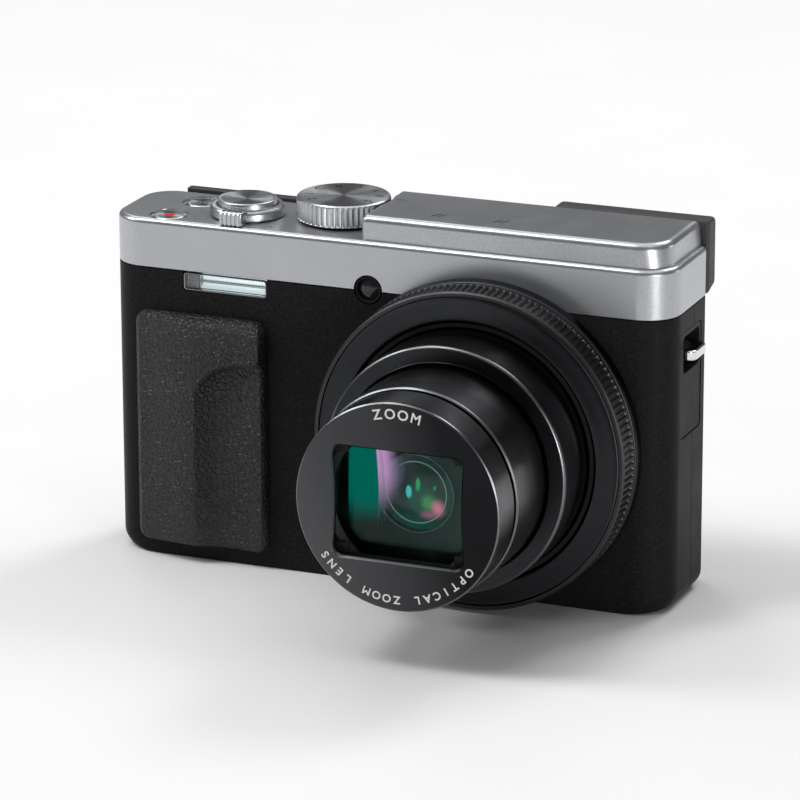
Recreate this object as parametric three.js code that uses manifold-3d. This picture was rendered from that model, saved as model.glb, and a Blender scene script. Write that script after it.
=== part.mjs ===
// Compact digital camera with an extending zoom lens, an eye-level viewfinder and a flip-up screen.
// Millimetres, +Z up. The lens looks along -Y and +X is on the right of someone facing the lens.
// Origin: on the underside, below the middle of the body's width and depth. The lens is modelled extended.
import * as THREE from 'three';
import { mergeVertices } from 'three/addons/utils/BufferGeometryUtils.js';
import Module from 'manifold-3d';

const wasm = await Module();
wasm.setup();

// ---- Driving dimensions: body ----
const bodyWidth = 108.4;
const bodyDepth = 20.8;
const seamZ = 55.0;
const deckZ = 64.1;
const humpZ = 68.5;
const frontCornerR = 6.5;
const rearLeftCornerR = 6.0;
const rearRightCornerR = 1.6;
const bottomCornerR = 3.4;
const wall = 1.4;
const splitFromDoorPivot = 1.65;
const humpInset = 1.3;
const fitGap = 0.15;
const runGap = 0.3;
const edgeGap = 0.1;
const recessWall = 1.0;
const boardGap = 2.0;
const boardThickness = 0.8;
const chipHeight = 0.3;
const chassisFromBoard = 1.0;
const chassisThickness = 0.6;

// ---- Driving dimensions: lens, stations are measured forward from the front face ----
const lensFromRight = 34.36;
const flangeAboveSeam = 4.97;
const capR = 18.87;
const capStep = 0.37;
const barrelStep = 3.43;
const fixedBarrelWall = 0.8;
const trimStep = 0.38;
const trimWidth = 4.29;
const sleeveWidth = 3.05;
const ringFrontStep = 1.0;
const ringRearStep = 1.3;
const flangeStep = 1.4;
const flangeFront = 3.5;
const sleeveLength = 4.2;
const ringLength = 5.5;
const mountFlangeWidth = 2.2;
const mountFlangeThickness = 1.0;
const sensorThickness = 0.6;
const sensorHalfWidth = 9.0;
const sensorHalfHeight = 8.0;
const outerBarrelFront = 20.45;
const outerBarrelLength = 23.0;
const innerBarrelFront = 34.48;
const innerBarrelLength = 22.0;
const neckLength = 2.0;
const capFront = 42.36;
const capLength = 7.3;
const windowWidth = 24.4;
const windowHeight = 19.8;
const frontGlassR = 13.2;
const bladeThickness = 0.5;
const apertureR = 5.0;
const rearGlassR = 8.0;
const rearGlassFront = 19.6;
const apertureRear = 20.0;
const apertureLength = 4.0;
const motorR = 3.2;
const motorY = -4.0;
const motorLow = 27.0;
const motorHigh = 41.0;
const motorShaftLength = 4.0;

// ---- Driving dimensions: flash, focus lamp and microphones ----
const flashFromLeft = 15.1;
const flashWidth = 16.3;
const flashHeight = 3.5;
const flashDepth = 7.9;
const flashTroughDepth = 6.0;
const lampFromLens = 22.71;
const lampAboveSeam = 0.19;
const lampR = 2.6;
const microphoneFromLens = [-11.5, 0.3];
const microphoneY = -3.6;
const microphoneTurn = -0.45;
const microphoneSlot = [0.4, 2.6, 4.0];
const microphoneSpacing = 0.6;

// ---- Driving dimensions: top controls ----
const modeDialFromRight = 67.0;
const modeDialY = 2.4;
const modeDialR = 8.6;
const modeDialTop = 68.8;
const modeDialWellGap = 0.6;
const humpFromDial = 7.95;
const shutterFromLeft = 23.7;
const shutterY = -0.7;
const shutterR = 5.4;
const leverR = 6.9;
const leverTop = 66.2;
const smallButtonR = 2.9;
const smallButtonDishR = 3.7;
const movieFromLeft = 10.5;
const movieY = -6.0;
const powerFromLeft = 12.55;
const powerY = 4.1;
const modeShaftR = 2.2;
const hubR = 4.9;
const shutterTop = 67.3;
const shutterTravel = 0.7;
const leverTabReach = 9.4;
const leverTabFromLeft = 1.7;
const leverTabWidth = 4.4;
const stemFootZ = 59.2;

// ---- Driving dimensions: back ----
const screenFromRight = 1.4;
const screenWidth = 75.3;
const screenBottom = 2.2;
const screenTop = 53.7;
const screenProud = 3.3;
const recessDepth = 1.6;
const hingeLowZ = 27.0;
const hingeHighZ = 50.4;
const hingeSunk = 0.2;
const hingePlateWidth = 48.0;
const hingeBarrelR = 0.8;
const hingePinR = 0.5;
const pinReach = 3.0;
const plateHalf = 0.4;
const glassThickness = 0.7;
const glassBorder = 2.0;
const finderWidth = 29.4;
const finderBottom = 54.6;
const finderProud = 4.3;
const finderTubeFromRight = 14.2;
const finderTubeWidth = 14.0;
const finderTubeBottom = 58.0;
const finderTubeWall = 1.2;
const finderTopDrop = 0.1;
const finderTopBevel = 0.8;
const finderUnderBevel = 1.3;
const eyeFrameBorder = 2.4;
const eyeFrameTopBorder = 1.5;
const eyeFrameThickness = 1.0;
const dioptreFromRight = 3.2;
const dioptreZ = 62.3;
const dioptreR = 1.9;
const dioptreDepth = 1.6;
const finderButtonFromFinder = 7.3;
const finderButtonZ = 60.0;
const finderButtonR = 2.2;
const wheelFromLeft = 15.6;
const wheelZ = 28.0;
const wheelR = 9.4;
const rearButtonR = 2.5;
const setButtonR = 4.2;
const setButtonProud = 1.3;
const buttonFootDepth = 1.2;
const rearButtonProud = 0.5;
const thumbFromLeft = 6.4;
const thumbWidth = 24.4;
const thumbBottomZ = 50.5;
const thumbAboveDeck = 0.6;
const thumbProud = 3.1;

// ---- Driving dimensions: grip, power and interfaces ----
const gripFromLeft = 5.6;
const gripWidth = 26.0;
const gripBottom = 2.9;
const gripTop = 47.1;
const gripRidgeFromLeft = 12.6;
const gripThickness = 3.4;
const gripEdgeThickness = 0.8;
const gripHollowThickness = 1.2;
const gripHollowTop = 38.0;
const gripHollowWidth = 5.0;
const batteryWidth = 31.0;
const batteryThickness = 8.6;
const batteryHeight = 44.0;
const cardWidth = 24.0;
const cardThickness = 2.1;
const cardHeight = 32.0;
const caseFromLeft = 7.6;
const caseWall = 0.6;
const doorThickness = 1.2;
const doorOverlap = 0.4;
const doorPivotR = 0.75;
const latchFromRight = 7.0;
const latchLength = 4.0;
const latchTravel = 2.0;
const latchWidth = 3.2;
const latchPocketDepth = 0.8;
const tripodFromLens = 11.84;
const tripodThreadR = 3.175;
const tripodBushR = 4.5;
const tripodBushHeight = 6.2;
const screwHeadR = 1.5;
const screwShankR = 0.8;
const screwLength = 4.5;
const screwHeadLow = 0.35;
const screwHeadTop = 1.0;

// ---- Driving dimensions: side fittings ----
const lugFromRear = 8.5;
const lugZ = 46.8;
const lugHalfWidth = 3.6;
const lugHalfHeight = 0.9;
const lugThickness = 0.9;
const lugBend = 1.2;
const lugReach = 1.8;
const cupHalfLength = 5.2;
const cupBottomZ = 42.4;
const cupTopZ = 51.2;
const cupDepth = 2.4;
const cupWall = 0.8;
const plateBottomZ = 31.6;
const plateThickness = 1.3;
const plateCornerR = 1.1;
const socketDoorWidth = 6.0;
const socketBottomZ = 22.2;
const socketTopZ = 41.0;
const socketDoorThickness = 1.0;
const socketSlots = [[24.6, 31.0], [32.4, 39.8]];
const socketSlotFromRear = 4.2;
const socketSlotWidth = 2.4;
const socketSlotDepth = 3.6;

// ---- Places that follow from the driving dimensions ----
const halfWidth = bodyWidth / 2;
const frontY = -bodyDepth / 2;
const rearY = bodyDepth / 2;
const lensX = halfWidth - lensFromRight;
const innerBarrelR = capR + capStep;
const outerBarrelR = innerBarrelR + barrelStep;
const fixedBarrelR = outerBarrelR + runGap + fixedBarrelWall;
const mountFlangeR = fixedBarrelR + mountFlangeWidth;
const trimInnerR = fixedBarrelR + trimStep;
const trimOuterR = trimInnerR + trimWidth;
const sleeveR = trimInnerR + sleeveWidth;
const ringFrontR = trimOuterR + ringFrontStep;
const ringRearR = trimOuterR + ringRearStep;
const flangeR = trimOuterR + flangeStep;
const modeDialX = halfWidth - modeDialFromRight;
const modeDialWellR = modeDialR + modeDialWellGap;
const humpLeftX = modeDialX + humpFromDial;
const shutterX = -halfWidth + shutterFromLeft;
const movieX = -halfWidth + movieFromLeft;
const powerX = -halfWidth + powerFromLeft;
const screenRight = halfWidth - screenFromRight;
const screenLeft = screenRight - screenWidth;
const screenRear = rearY + screenProud;
const hingeY = rearY - hingeSunk;
const finderLeft = halfWidth - finderWidth;
const finderRear = rearY + finderProud;
const wheelX = -halfWidth + wheelFromLeft;
const gripLeft = -halfWidth + gripFromLeft;
const gripRight = gripLeft + gripWidth;
const gripRidgeX = gripLeft + gripRidgeFromLeft;
const lensZ = seamZ + flangeAboveSeam - flangeR;
const tripodX = lensX - tripodFromLens;
const innerFrontY = frontY + wall;
const innerRearY = rearY - wall;
const recessFloorY = rearY - recessDepth;
const boardY = recessFloorY - recessWall - boardGap;
const chassisY = boardY - chassisFromBoard;
const tripodY = chassisY - runGap - tripodBushR;
const sensorFrontY = chassisY - runGap - sensorThickness;
const fixedBarrelRear = frontY - sensorFrontY + runGap;
const deckUnder = deckZ - wall;
const far = 200;
const fineSteps = 48;
const mediumSteps = 32;
const smallSteps = 20;
const arcSteps = 3;

const ahead = (distance) => frontY - distance;

// ---- Solids: closed three.js geometry goes in, boolean results come back as geometry ----
function signedVolume(positions, triangles) {
  const a = new THREE.Vector3();
  const b = new THREE.Vector3();
  const c = new THREE.Vector3();
  let total = 0;
  for (let i = 0; i < triangles.length; i += 3) {
    a.fromArray(positions, 3 * triangles[i]);
    b.fromArray(positions, 3 * triangles[i + 1]);
    c.fromArray(positions, 3 * triangles[i + 2]);
    total += a.dot(b.cross(c)) / 6;
  }
  return total;
}

function solid(geometry) {
  const bare = geometry.clone();
  bare.deleteAttribute('normal');
  bare.deleteAttribute('uv');
  const merged = mergeVertices(bare, 1e-4);
  const vertProperties = Float32Array.from(merged.attributes.position.array);
  const triVerts = Uint32Array.from(merged.index.array);
  if (signedVolume(vertProperties, triVerts) < 0) {
    triVerts.reverse();
  }
  return new wasm.Manifold(new wasm.Mesh({ numProp: 3, vertProperties, triVerts }));
}

function geometryOf(shape) {
  const mesh = shape.getMesh();
  const geometry = new THREE.BufferGeometry();
  geometry.setAttribute('position', new THREE.BufferAttribute(Float32Array.from(mesh.vertProperties), 3));
  geometry.setIndex(new THREE.BufferAttribute(Uint32Array.from(mesh.triVerts), 1));
  geometry.computeVertexNormals();
  return geometry;
}

const join = (first, ...others) => others.reduce((sum, piece) => sum.add(piece), first);
const cut = (first, ...tools) => tools.reduce((rest, tool) => rest.subtract(tool), first);

function box(x0, x1, y0, y1, z0, z1) {
  const geometry = new THREE.BoxGeometry(x1 - x0, y1 - y0, z1 - z0);
  geometry.translate((x0 + x1) / 2, (y0 + y1) / 2, (z0 + z1) / 2);
  return solid(geometry);
}

function extruded(shape, depth) {
  return new THREE.ExtrudeGeometry(shape, { depth, bevelEnabled: false, curveSegments: arcSteps });
}

// A shape drawn in (x, y), standing from z0 to z1.
function alongZ(shape, z0, z1) {
  return solid(extruded(shape, z1 - z0).translate(0, 0, z0));
}

// A shape drawn in (x, z), running from y0 to y1.
function alongY(shape, y0, y1) {
  return solid(extruded(shape, y1 - y0).rotateX(Math.PI / 2).translate(0, y1, 0));
}

// A shape drawn in (y, z), running from x0 to x1.
function alongX(shape, x0, x1) {
  const turn = new THREE.Matrix4().makeBasis(
    new THREE.Vector3(0, 1, 0),
    new THREE.Vector3(0, 0, 1),
    new THREE.Vector3(1, 0, 0),
  );
  return solid(extruded(shape, x1 - x0).applyMatrix4(turn).translate(x0, 0, 0));
}

const points = (list) => list.map(([a, b]) => new THREE.Vector2(a, b));
const polygon = (list) => new THREE.Shape(points(list));

// Profiles are lists of [radius, place along the axis]. A ring's profile closes on itself.
function turned(profile, steps, closed) {
  const list = closed ? [...profile, profile[0]] : profile;
  return new THREE.LatheGeometry(points(list), steps);
}

function ringAlongY(profile, x, z, steps = fineSteps) {
  return solid(turned(profile, steps, true).translate(x, 0, z));
}

function discAlongY(profile, x, z, steps = smallSteps) {
  return solid(turned(profile, steps, false).translate(x, 0, z));
}

function ringAlongZ(profile, x, y, steps = mediumSteps) {
  return solid(turned(profile, steps, true).rotateX(Math.PI / 2).translate(x, y, 0));
}

function rodAlongY(radius, y0, y1, x, z, steps = smallSteps) {
  return discAlongY([[0, y0], [radius, y0], [radius, y1], [0, y1]], x, z, steps);
}

function rodAlongZ(radius, z0, z1, x, y, steps = smallSteps) {
  const profile = [[0, z0], [radius, z0], [radius, z1], [0, z1]];
  return solid(turned(profile, steps, false).rotateX(Math.PI / 2).translate(x, y, 0));
}

function rodAlongX(radius, x0, x1, y, z, steps = smallSteps) {
  const profile = [[0, x0], [radius, x0], [radius, x1], [0, x1]];
  return solid(turned(profile, steps, false).rotateZ(-Math.PI / 2).translate(0, y, z));
}

function roundedRect(a0, a1, b0, b1, r) {
  const shape = new THREE.Shape();
  shape.moveTo(a0 + r, b0);
  shape.lineTo(a1 - r, b0);
  shape.absarc(a1 - r, b0 + r, r, -Math.PI / 2, 0);
  shape.lineTo(a1, b1 - r);
  shape.absarc(a1 - r, b1 - r, r, 0, Math.PI / 2);
  shape.lineTo(a0 + r, b1);
  shape.absarc(a0 + r, b1 - r, r, Math.PI / 2, Math.PI);
  shape.lineTo(a0, b0 + r);
  shape.absarc(a0 + r, b0 + r, r, Math.PI, 1.5 * Math.PI);
  return shape;
}

// ---- Body outlines ----
// The body seen from above, pulled in by inset on every side.
function planOutline(inset) {
  const left = -halfWidth + inset;
  const right = halfWidth - inset;
  const front = frontY + inset;
  const back = rearY - inset;
  const frontR = frontCornerR - inset;
  const leftR = rearLeftCornerR - inset;
  const rightR = Math.max(rearRightCornerR - inset, 0.1);
  const shape = new THREE.Shape();
  shape.moveTo(left + frontR, front);
  shape.lineTo(right - frontR, front);
  shape.absarc(right - frontR, front + frontR, frontR, -Math.PI / 2, 0);
  shape.lineTo(right, back - rightR);
  shape.absarc(right - rightR, back - rightR, rightR, 0, Math.PI / 2);
  shape.lineTo(left + leftR, back);
  shape.absarc(left + leftR, back - leftR, leftR, Math.PI / 2, Math.PI);
  shape.lineTo(left, front + frontR);
  shape.absarc(left + frontR, front + frontR, frontR, Math.PI, 1.5 * Math.PI);
  return shape;
}

// The body seen from the front, with its two rounded lower corners.
function frontOutline(inset) {
  const r = bottomCornerR - inset;
  return roundedRect(-halfWidth + inset, halfWidth - inset, inset, far, r);
}

function bodyBlock(inset, top) {
  const upright = alongZ(planOutline(inset), inset, top);
  return upright.intersect(alongY(frontOutline(inset), -far, far));
}

const lowerShell = cut(bodyBlock(0, seamZ - fitGap), bodyBlock(wall, far));
const lensHole = rodAlongY(fixedBarrelR + runGap, -far, 0, lensX, lensZ, fineSteps);

// ---- Small shared features ----
const lampX = lensX - lampFromLens;
const lampZ = seamZ + lampAboveSeam;
const lampHole = rodAlongY(lampR + fitGap, -far, innerFrontY + 0.5, lampX, lampZ);

const flashLeft = -halfWidth + flashFromLeft;
const flashRight = flashLeft + flashWidth;
const flashBottom = seamZ - flashHeight;
const flashTop = seamZ - fitGap;

const caseInnerWidth = batteryWidth + 2 * runGap;
const caseLeft = -halfWidth + caseFromLeft;
const caseRight = caseLeft + caseInnerWidth + 2 * caseWall;
const caseCentreX = (caseLeft + caseRight) / 2;
const caseFrontY = innerFrontY + fitGap;
const batteryFrontY = caseFrontY + caseWall + runGap;
const batteryRearY = batteryFrontY + batteryThickness;
const cardFrontY = batteryRearY + runGap + caseWall + fitGap;
const cardRearY = cardFrontY + cardThickness;
const caseRearY = cardRearY + fitGap + caseWall / 2;
const caseBottomZ = doorThickness + runGap;
const caseTopZ = caseBottomZ + runGap + batteryHeight + caseWall;

const doorLeft = caseLeft - doorOverlap;
const doorRight = caseRight + doorOverlap;
const doorFrontY = caseFrontY + doorOverlap;
const doorPivotY = caseRearY + runGap;
const splitY = doorPivotY - splitFromDoorPivot;
const doorHole = box(
  doorLeft - runGap, doorRight + runGap,
  doorFrontY - runGap, doorPivotY + doorPivotR + runGap,
  -far, wall + fitGap,
);

// Side fittings: the strap lug sits in a cup, and on the right the cup's plate runs on downwards.
const lugCentreY = rearY - lugFromRear;
const cupFrontY = lugCentreY - cupHalfLength;
const cupRearY = lugCentreY + cupHalfLength;
const sideFaceX = halfWidth - edgeGap;
const cupInnerX = sideFaceX - plateThickness - cupDepth;

function sideOpening(side, lowZ) {
  const outline = roundedRect(
    cupFrontY - fitGap, cupRearY + fitGap,
    lowZ - fitGap, cupTopZ + fitGap,
    plateCornerR + edgeGap,
  );
  const reach = plateThickness + cupDepth;
  const middle = side * halfWidth;
  return alongX(outline, middle - reach, middle + reach);
}

const socketRearY = splitY - runGap;
const socketFrontY = socketRearY - socketDoorWidth;
const socketSlotY = socketRearY - socketSlotFromRear;

// ---- Covers ----
function frontCover() {
  const aheadOfSplit = box(-far, far, -far, splitY, -far, far);
  const flashNotch = box(
    flashLeft - fitGap, flashRight + fitGap,
    -far, innerFrontY + 0.5,
    flashBottom - fitGap, far,
  );
  const socketHole = box(
    -far, -halfWidth + wall + 0.5,
    socketFrontY - runGap - edgeGap, splitY + 1,
    socketBottomZ - runGap, socketTopZ + runGap,
  );
  return cut(
    lowerShell.intersect(aheadOfSplit),
    lensHole,
    lampHole,
    flashNotch,
    doorHole,
    socketHole,
    sideOpening(1, plateBottomZ),
    sideOpening(-1, cupBottomZ),
    rodAlongZ(tripodBushR + fitGap, -1, wall + 1, tripodX, tripodY),
  );
}

function rearButtonHole(x, z, r) {
  return rodAlongY(r + runGap, 0, far, x, z);
}

const rearButtons = [
  ['playback_button', wheelX + 8.8, wheelZ + 15.5],
  ['display_button', wheelX + 8.8, wheelZ - 16.5],
  ['delete_button', wheelX - 8.2, wheelZ - 16.5],
];
const recessLeft = screenLeft - runGap;
const recessRight = screenRight + runGap;
const recessBottomZ = screenBottom - runGap;
const recessTopZ = screenTop + runGap;

function rearCover() {
  const behindSplit = box(-far, far, splitY + fitGap, far, -far, far);
  const recessPan = box(
    recessLeft - recessWall, recessRight + 0.5,
    recessFloorY - recessWall, innerRearY + 0.1,
    wall - 0.5, seamZ - fitGap,
  );
  const recess = box(recessLeft, recessRight, recessFloorY, far, recessBottomZ, recessTopZ);
  const holes = rearButtons.map(([, x, z]) => rearButtonHole(x, z, rearButtonR));
  return cut(
    lowerShell.intersect(behindSplit).add(recessPan.intersect(bodyBlock(0, seamZ - fitGap))),
    recess,
    ...holes,
    rearButtonHole(wheelX, wheelZ, setButtonR),
    doorHole,
    sideOpening(1, plateBottomZ),
    sideOpening(-1, cupBottomZ),
    rodAlongZ(tripodBushR + fitGap, -1, wall + 1, tripodX, tripodY),
  );
}

// The raised part of the top, set back from the front and right edges, with a bite for the mode dial.
function humpOutline(inset) {
  const left = humpLeftX + inset;
  const right = halfWidth - humpInset - inset;
  const front = frontY + humpInset + inset;
  const back = rearY - inset;
  const frontR = frontCornerR - inset;
  const shape = new THREE.Shape();
  shape.moveTo(left, front);
  shape.lineTo(right - frontR, front);
  shape.absarc(right - frontR, front + frontR, frontR, -Math.PI / 2, 0);
  shape.lineTo(right, back);
  shape.lineTo(left, back);
  return shape;
}

const tubeLeft = halfWidth - finderTubeFromRight - finderTubeWidth / 2;
const tubeRight = tubeLeft + finderTubeWidth;
const tubeBottomZ = finderTubeBottom;
const tubeTopZ = humpZ - wall - fitGap - edgeGap - fitGap;
const finderButtonX = finderLeft - finderButtonFromFinder;

function microphoneSlots(x) {
  const slot = (dx) => {
    const cutter = new THREE.BoxGeometry(...microphoneSlot).rotateZ(microphoneTurn);
    return solid(cutter.translate(x + dx, microphoneY, humpZ));
  };
  return slot(-microphoneSpacing).add(slot(microphoneSpacing));
}

function topCover() {
  const deck = alongZ(planOutline(0), seamZ, deckZ);
  const hump = alongZ(humpOutline(0), deckZ - 1, humpZ);
  const well = rodAlongZ(modeDialWellR, deckZ, far, modeDialX, modeDialY, fineSteps);
  const hollow = alongZ(planOutline(wall), -1, deckUnder);
  const humpHollow = alongZ(humpOutline(wall), deckUnder - 1, humpZ - wall);
  const wellGuard = rodAlongZ(modeDialWellR + wall, 0, far, modeDialX, modeDialY, fineSteps);
  const dish = (x, y) => rodAlongZ(smallButtonDishR, deckZ - 0.6, far, x, y);
  const hole = (x, y, r) => rodAlongZ(r, 0, far, x, y);
  return cut(
    deck.add(hump),
    well,
    lensHole,
    hollow,
    humpHollow.subtract(wellGuard),
    lampHole,
    hole(modeDialX, modeDialY, modeShaftR + runGap),
    hole(shutterX, shutterY, hubR + runGap),
    hole(movieX, movieY, smallButtonR + runGap),
    hole(powerX, powerY, smallButtonR + runGap),
    dish(movieX, movieY),
    dish(powerX, powerY),
    box(tubeLeft - fitGap, tubeRight + fitGap, 0, far, tubeBottomZ - fitGap, tubeTopZ + fitGap),
    rodAlongY(finderButtonR + runGap, 0, far, finderButtonX, finderButtonZ),
    ...microphoneFromLens.map((offset) => microphoneSlots(lensX + offset)),
  );
}

// ---- Grip, thumb rest and windows ----
function gripPad() {
  const back = frontY - fitGap;
  const crest = frontY - gripThickness;
  const section = polygon([
    [gripLeft, back],
    [gripLeft, frontY - gripEdgeThickness],
    [gripLeft + 1.2, frontY - 1.4],
    [gripRidgeX, crest],
    [gripRight - 1.4, crest + 0.4],
    [gripRight, crest + 1.4],
    [gripRight, back],
  ]);
  const face = roundedRect(gripLeft, gripRight, gripBottom, gripTop, 2.0);
  const floor = frontY - gripHollowThickness;
  const hollowSection = polygon([
    [gripRidgeX, crest - 0.4],
    [gripRidgeX + gripHollowWidth, floor],
    [gripRight + 1, floor],
    [gripRight + 1, crest - 4],
    [gripRidgeX, crest - 4],
  ]);
  const hollow = alongZ(hollowSection, -1, gripHollowTop);
  return cut(alongZ(section, 0, gripTop + 1).intersect(alongY(face, -far, far)), hollow);
}

const thumbLeft = -halfWidth + thumbFromLeft;
const thumbRight = thumbLeft + thumbWidth;
const thumbTopZ = deckZ + thumbAboveDeck;
const thumbRear = rearY + thumbProud;

function thumbRest() {
  const front = rearY + fitGap;
  const section = polygon([
    [front, thumbBottomZ],
    [thumbRear - 1.8, thumbBottomZ],
    [thumbRear, thumbBottomZ + 3],
    [thumbRear, thumbTopZ - 1.4],
    [thumbRear - 1, thumbTopZ],
    [front, thumbTopZ],
  ]);
  const plan = roundedRect(thumbLeft, thumbRight, front - 3, thumbRear, 1.5);
  return alongX(section, thumbLeft, thumbRight).intersect(alongZ(plan, 0, far));
}

function flashWindow() {
  const outline = roundedRect(flashLeft, flashRight, flashBottom, flashTop - fitGap, 0.5);
  return alongY(outline, frontY + edgeGap, innerFrontY + 0.4);
}

function flashUnit() {
  const housing = box(
    flashLeft + 2 * runGap, flashRight - 2 * runGap,
    innerFrontY + 2 * runGap, frontY + flashDepth,
    flashBottom - 0.7, seamZ + 1.2,
  );
  const troughRear = frontY + flashTroughDepth;
  const trough = polygon([
    [innerFrontY, flashBottom],
    [innerFrontY, seamZ + 0.4],
    [troughRear, seamZ - 1.0],
    [troughRear, seamZ - 2.7],
  ]);
  return housing.subtract(alongX(trough, flashLeft + 1.6, flashRight - 1.6));
}

function lampLens() {
  const rear = innerFrontY + runGap;
  return discAlongY([
    [0, frontY - edgeGap],
    [lampR * 0.6, frontY],
    [lampR, frontY + 0.4],
    [lampR, rear],
    [0, rear],
  ], lampX, lampZ);
}

// ---- Lens ----
function lensBase() {
  return ringAlongY([
    [trimInnerR, ahead(fitGap)],
    [flangeR - 0.6, ahead(fitGap)],
    [flangeR, ahead(1.05)],
    [flangeR, ahead(flangeFront)],
    [sleeveR, ahead(flangeFront)],
    [sleeveR, ahead(flangeFront + sleeveLength)],
    [trimInnerR, ahead(flangeFront + sleeveLength)],
  ], lensX, lensZ);
}

const ringRear = flangeFront + runGap;
const ringFront = ringRear + ringLength;
const trimRear = flangeFront + sleeveLength + fitGap;

function controlRing() {
  const lip = trimRear - runGap;
  return ringAlongY([
    [sleeveR + runGap, ahead(ringRear)],
    [ringRearR, ahead(ringRear)],
    [ringFrontR, ahead(ringFront)],
    [trimOuterR + 0.2, ahead(ringFront)],
    [trimOuterR + 0.2, ahead(lip)],
    [sleeveR + runGap, ahead(lip)],
  ], lensX, lensZ);
}

function frontTrimRing() {
  return ringAlongY([
    [trimInnerR, ahead(trimRear)],
    [trimOuterR, ahead(trimRear)],
    [trimOuterR, ahead(ringFront - 0.1)],
    [trimInnerR, ahead(ringFront + 0.3)],
  ], lensX, lensZ);
}

function fixedBarrel() {
  const bore = fixedBarrelR - fixedBarrelWall;
  const flange = -wall - fitGap;
  return ringAlongY([
    [bore, ahead(fixedBarrelRear)],
    [fixedBarrelR, ahead(fixedBarrelRear)],
    [fixedBarrelR, ahead(flange - mountFlangeThickness)],
    [mountFlangeR, ahead(flange - mountFlangeThickness)],
    [mountFlangeR, ahead(flange)],
    [fixedBarrelR, ahead(flange)],
    [fixedBarrelR, ahead(ringFront - 0.3)],
    [bore, ahead(ringFront - 0.3)],
  ], lensX, lensZ);
}

function outerBarrel() {
  const rear = outerBarrelFront - outerBarrelLength;
  const bore = outerBarrelR - 1.1;
  const lip = innerBarrelR + 0.4;
  return ringAlongY([
    [lip, ahead(outerBarrelFront)],
    [outerBarrelR - 0.5, ahead(outerBarrelFront)],
    [outerBarrelR, ahead(outerBarrelFront - 0.5)],
    [outerBarrelR, ahead(rear)],
    [bore, ahead(rear)],
    [bore, ahead(outerBarrelFront - 1.5)],
    [lip, ahead(outerBarrelFront - 1.5)],
  ], lensX, lensZ);
}

const capBore = capR - 0.67;
const neckR = capBore - runGap;
const innerBore = neckR - 1.1;
const capRear = capFront - capLength;
const neckFront = innerBarrelFront + neckLength;

function innerBarrel() {
  const rear = innerBarrelFront - innerBarrelLength;
  return ringAlongY([
    [innerBore, ahead(rear)],
    [innerBarrelR, ahead(rear)],
    [innerBarrelR, ahead(innerBarrelFront - 0.4)],
    [innerBarrelR - 0.4, ahead(innerBarrelFront)],
    [neckR, ahead(innerBarrelFront)],
    [neckR, ahead(neckFront)],
    [innerBore, ahead(neckFront)],
  ], lensX, lensZ);
}

const capFaceThickness = 1.0;
const bladeFront = capFront - capFaceThickness - 0.35;
const bladeFrontRear = bladeFront - bladeThickness;
const bladeBack = bladeFrontRear - 0.3;
const bladeBackRear = bladeBack - bladeThickness;
const baffleFront = bladeBackRear - 0.35;
const baffleRear = neckFront + fitGap;

function frontCap() {
  const cup = discAlongY([
    [0, ahead(capFront)],
    [capR - 0.3, ahead(capFront)],
    [capR, ahead(capFront - 0.3)],
    [capR, ahead(capRear)],
    [capBore, ahead(capRear)],
    [capBore, ahead(capFront - capFaceThickness)],
    [0, ahead(capFront - capFaceThickness)],
  ], lensX, lensZ, fineSteps);
  const window = roundedRect(
    lensX - windowWidth / 2, lensX + windowWidth / 2,
    lensZ - windowHeight / 2, lensZ + windowHeight / 2,
    2.2,
  );
  return cup.subtract(alongY(window, ahead(capFront + 1), ahead(capRear)));
}

function lensBaffle() {
  return ringAlongY([
    [frontGlassR + fitGap, ahead(baffleRear)],
    [capBore - fitGap, ahead(baffleRear)],
    [capBore - fitGap, ahead(baffleFront)],
    [frontGlassR + fitGap, ahead(baffleFront)],
  ], lensX, lensZ);
}

function glass(radius, frontStation, thickness, bulge) {
  const edgeFront = frontStation - bulge;
  const edgeRear = edgeFront - thickness + 2 * bulge;
  const profile = [[0, ahead(frontStation)]];
  const rings = 3;
  for (let i = 1; i <= rings; i += 1) {
    const share = i / rings;
    profile.push([radius * share, ahead(frontStation - bulge * share * share)]);
  }
  profile.push([radius, ahead(edgeRear)]);
  for (let i = rings - 1; i >= 0; i -= 1) {
    const share = i / rings;
    profile.push([radius * share, ahead(edgeRear - bulge * (1 - share * share) * 0.6)]);
  }
  return discAlongY(profile, lensX, lensZ, mediumSteps);
}

// A barrier blade is the part of a disc above a chord. The rear pair also has a lobe at each end.
const bladeR = capBore - 0.25;
const bladeChord = windowHeight / 2 + 0.15;
const lobeInner = 9.8;
const lobeOuter = 13.6;
const lobeChord = 8.2;

function blade(up, frontStation, rearStation, lobes) {
  const slab = rodAlongY(bladeR, ahead(frontStation), ahead(rearStation), lensX, lensZ, fineSteps);
  const band = (x0, x1, z0) => (up > 0
    ? box(lensX + x0, lensX + x1, -far, far, lensZ + z0, lensZ + bladeR + 1)
    : box(lensX + x0, lensX + x1, -far, far, lensZ - bladeR - 1, lensZ - z0));
  let keep = band(-bladeR - 1, bladeR + 1, bladeChord);
  if (lobes) {
    keep = join(keep, band(lobeInner, lobeOuter, lobeChord), band(-lobeOuter, -lobeInner, lobeChord));
  }
  return slab.intersect(keep);
}

function apertureUnit() {
  return ringAlongY([
    [apertureR, ahead(apertureRear)],
    [innerBore - fitGap, ahead(apertureRear)],
    [innerBore - fitGap, ahead(apertureRear + apertureLength)],
    [innerBore - 2, ahead(apertureRear + apertureLength)],
    [apertureR, ahead(apertureRear + apertureLength / 2)],
  ], lensX, lensZ, mediumSteps);
}

function imageSensor() {
  return box(
    lensX - sensorHalfWidth, lensX + sensorHalfWidth,
    sensorFrontY, sensorFrontY + sensorThickness,
    lensZ - sensorHalfHeight, lensZ + sensorHalfHeight,
  );
}

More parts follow.
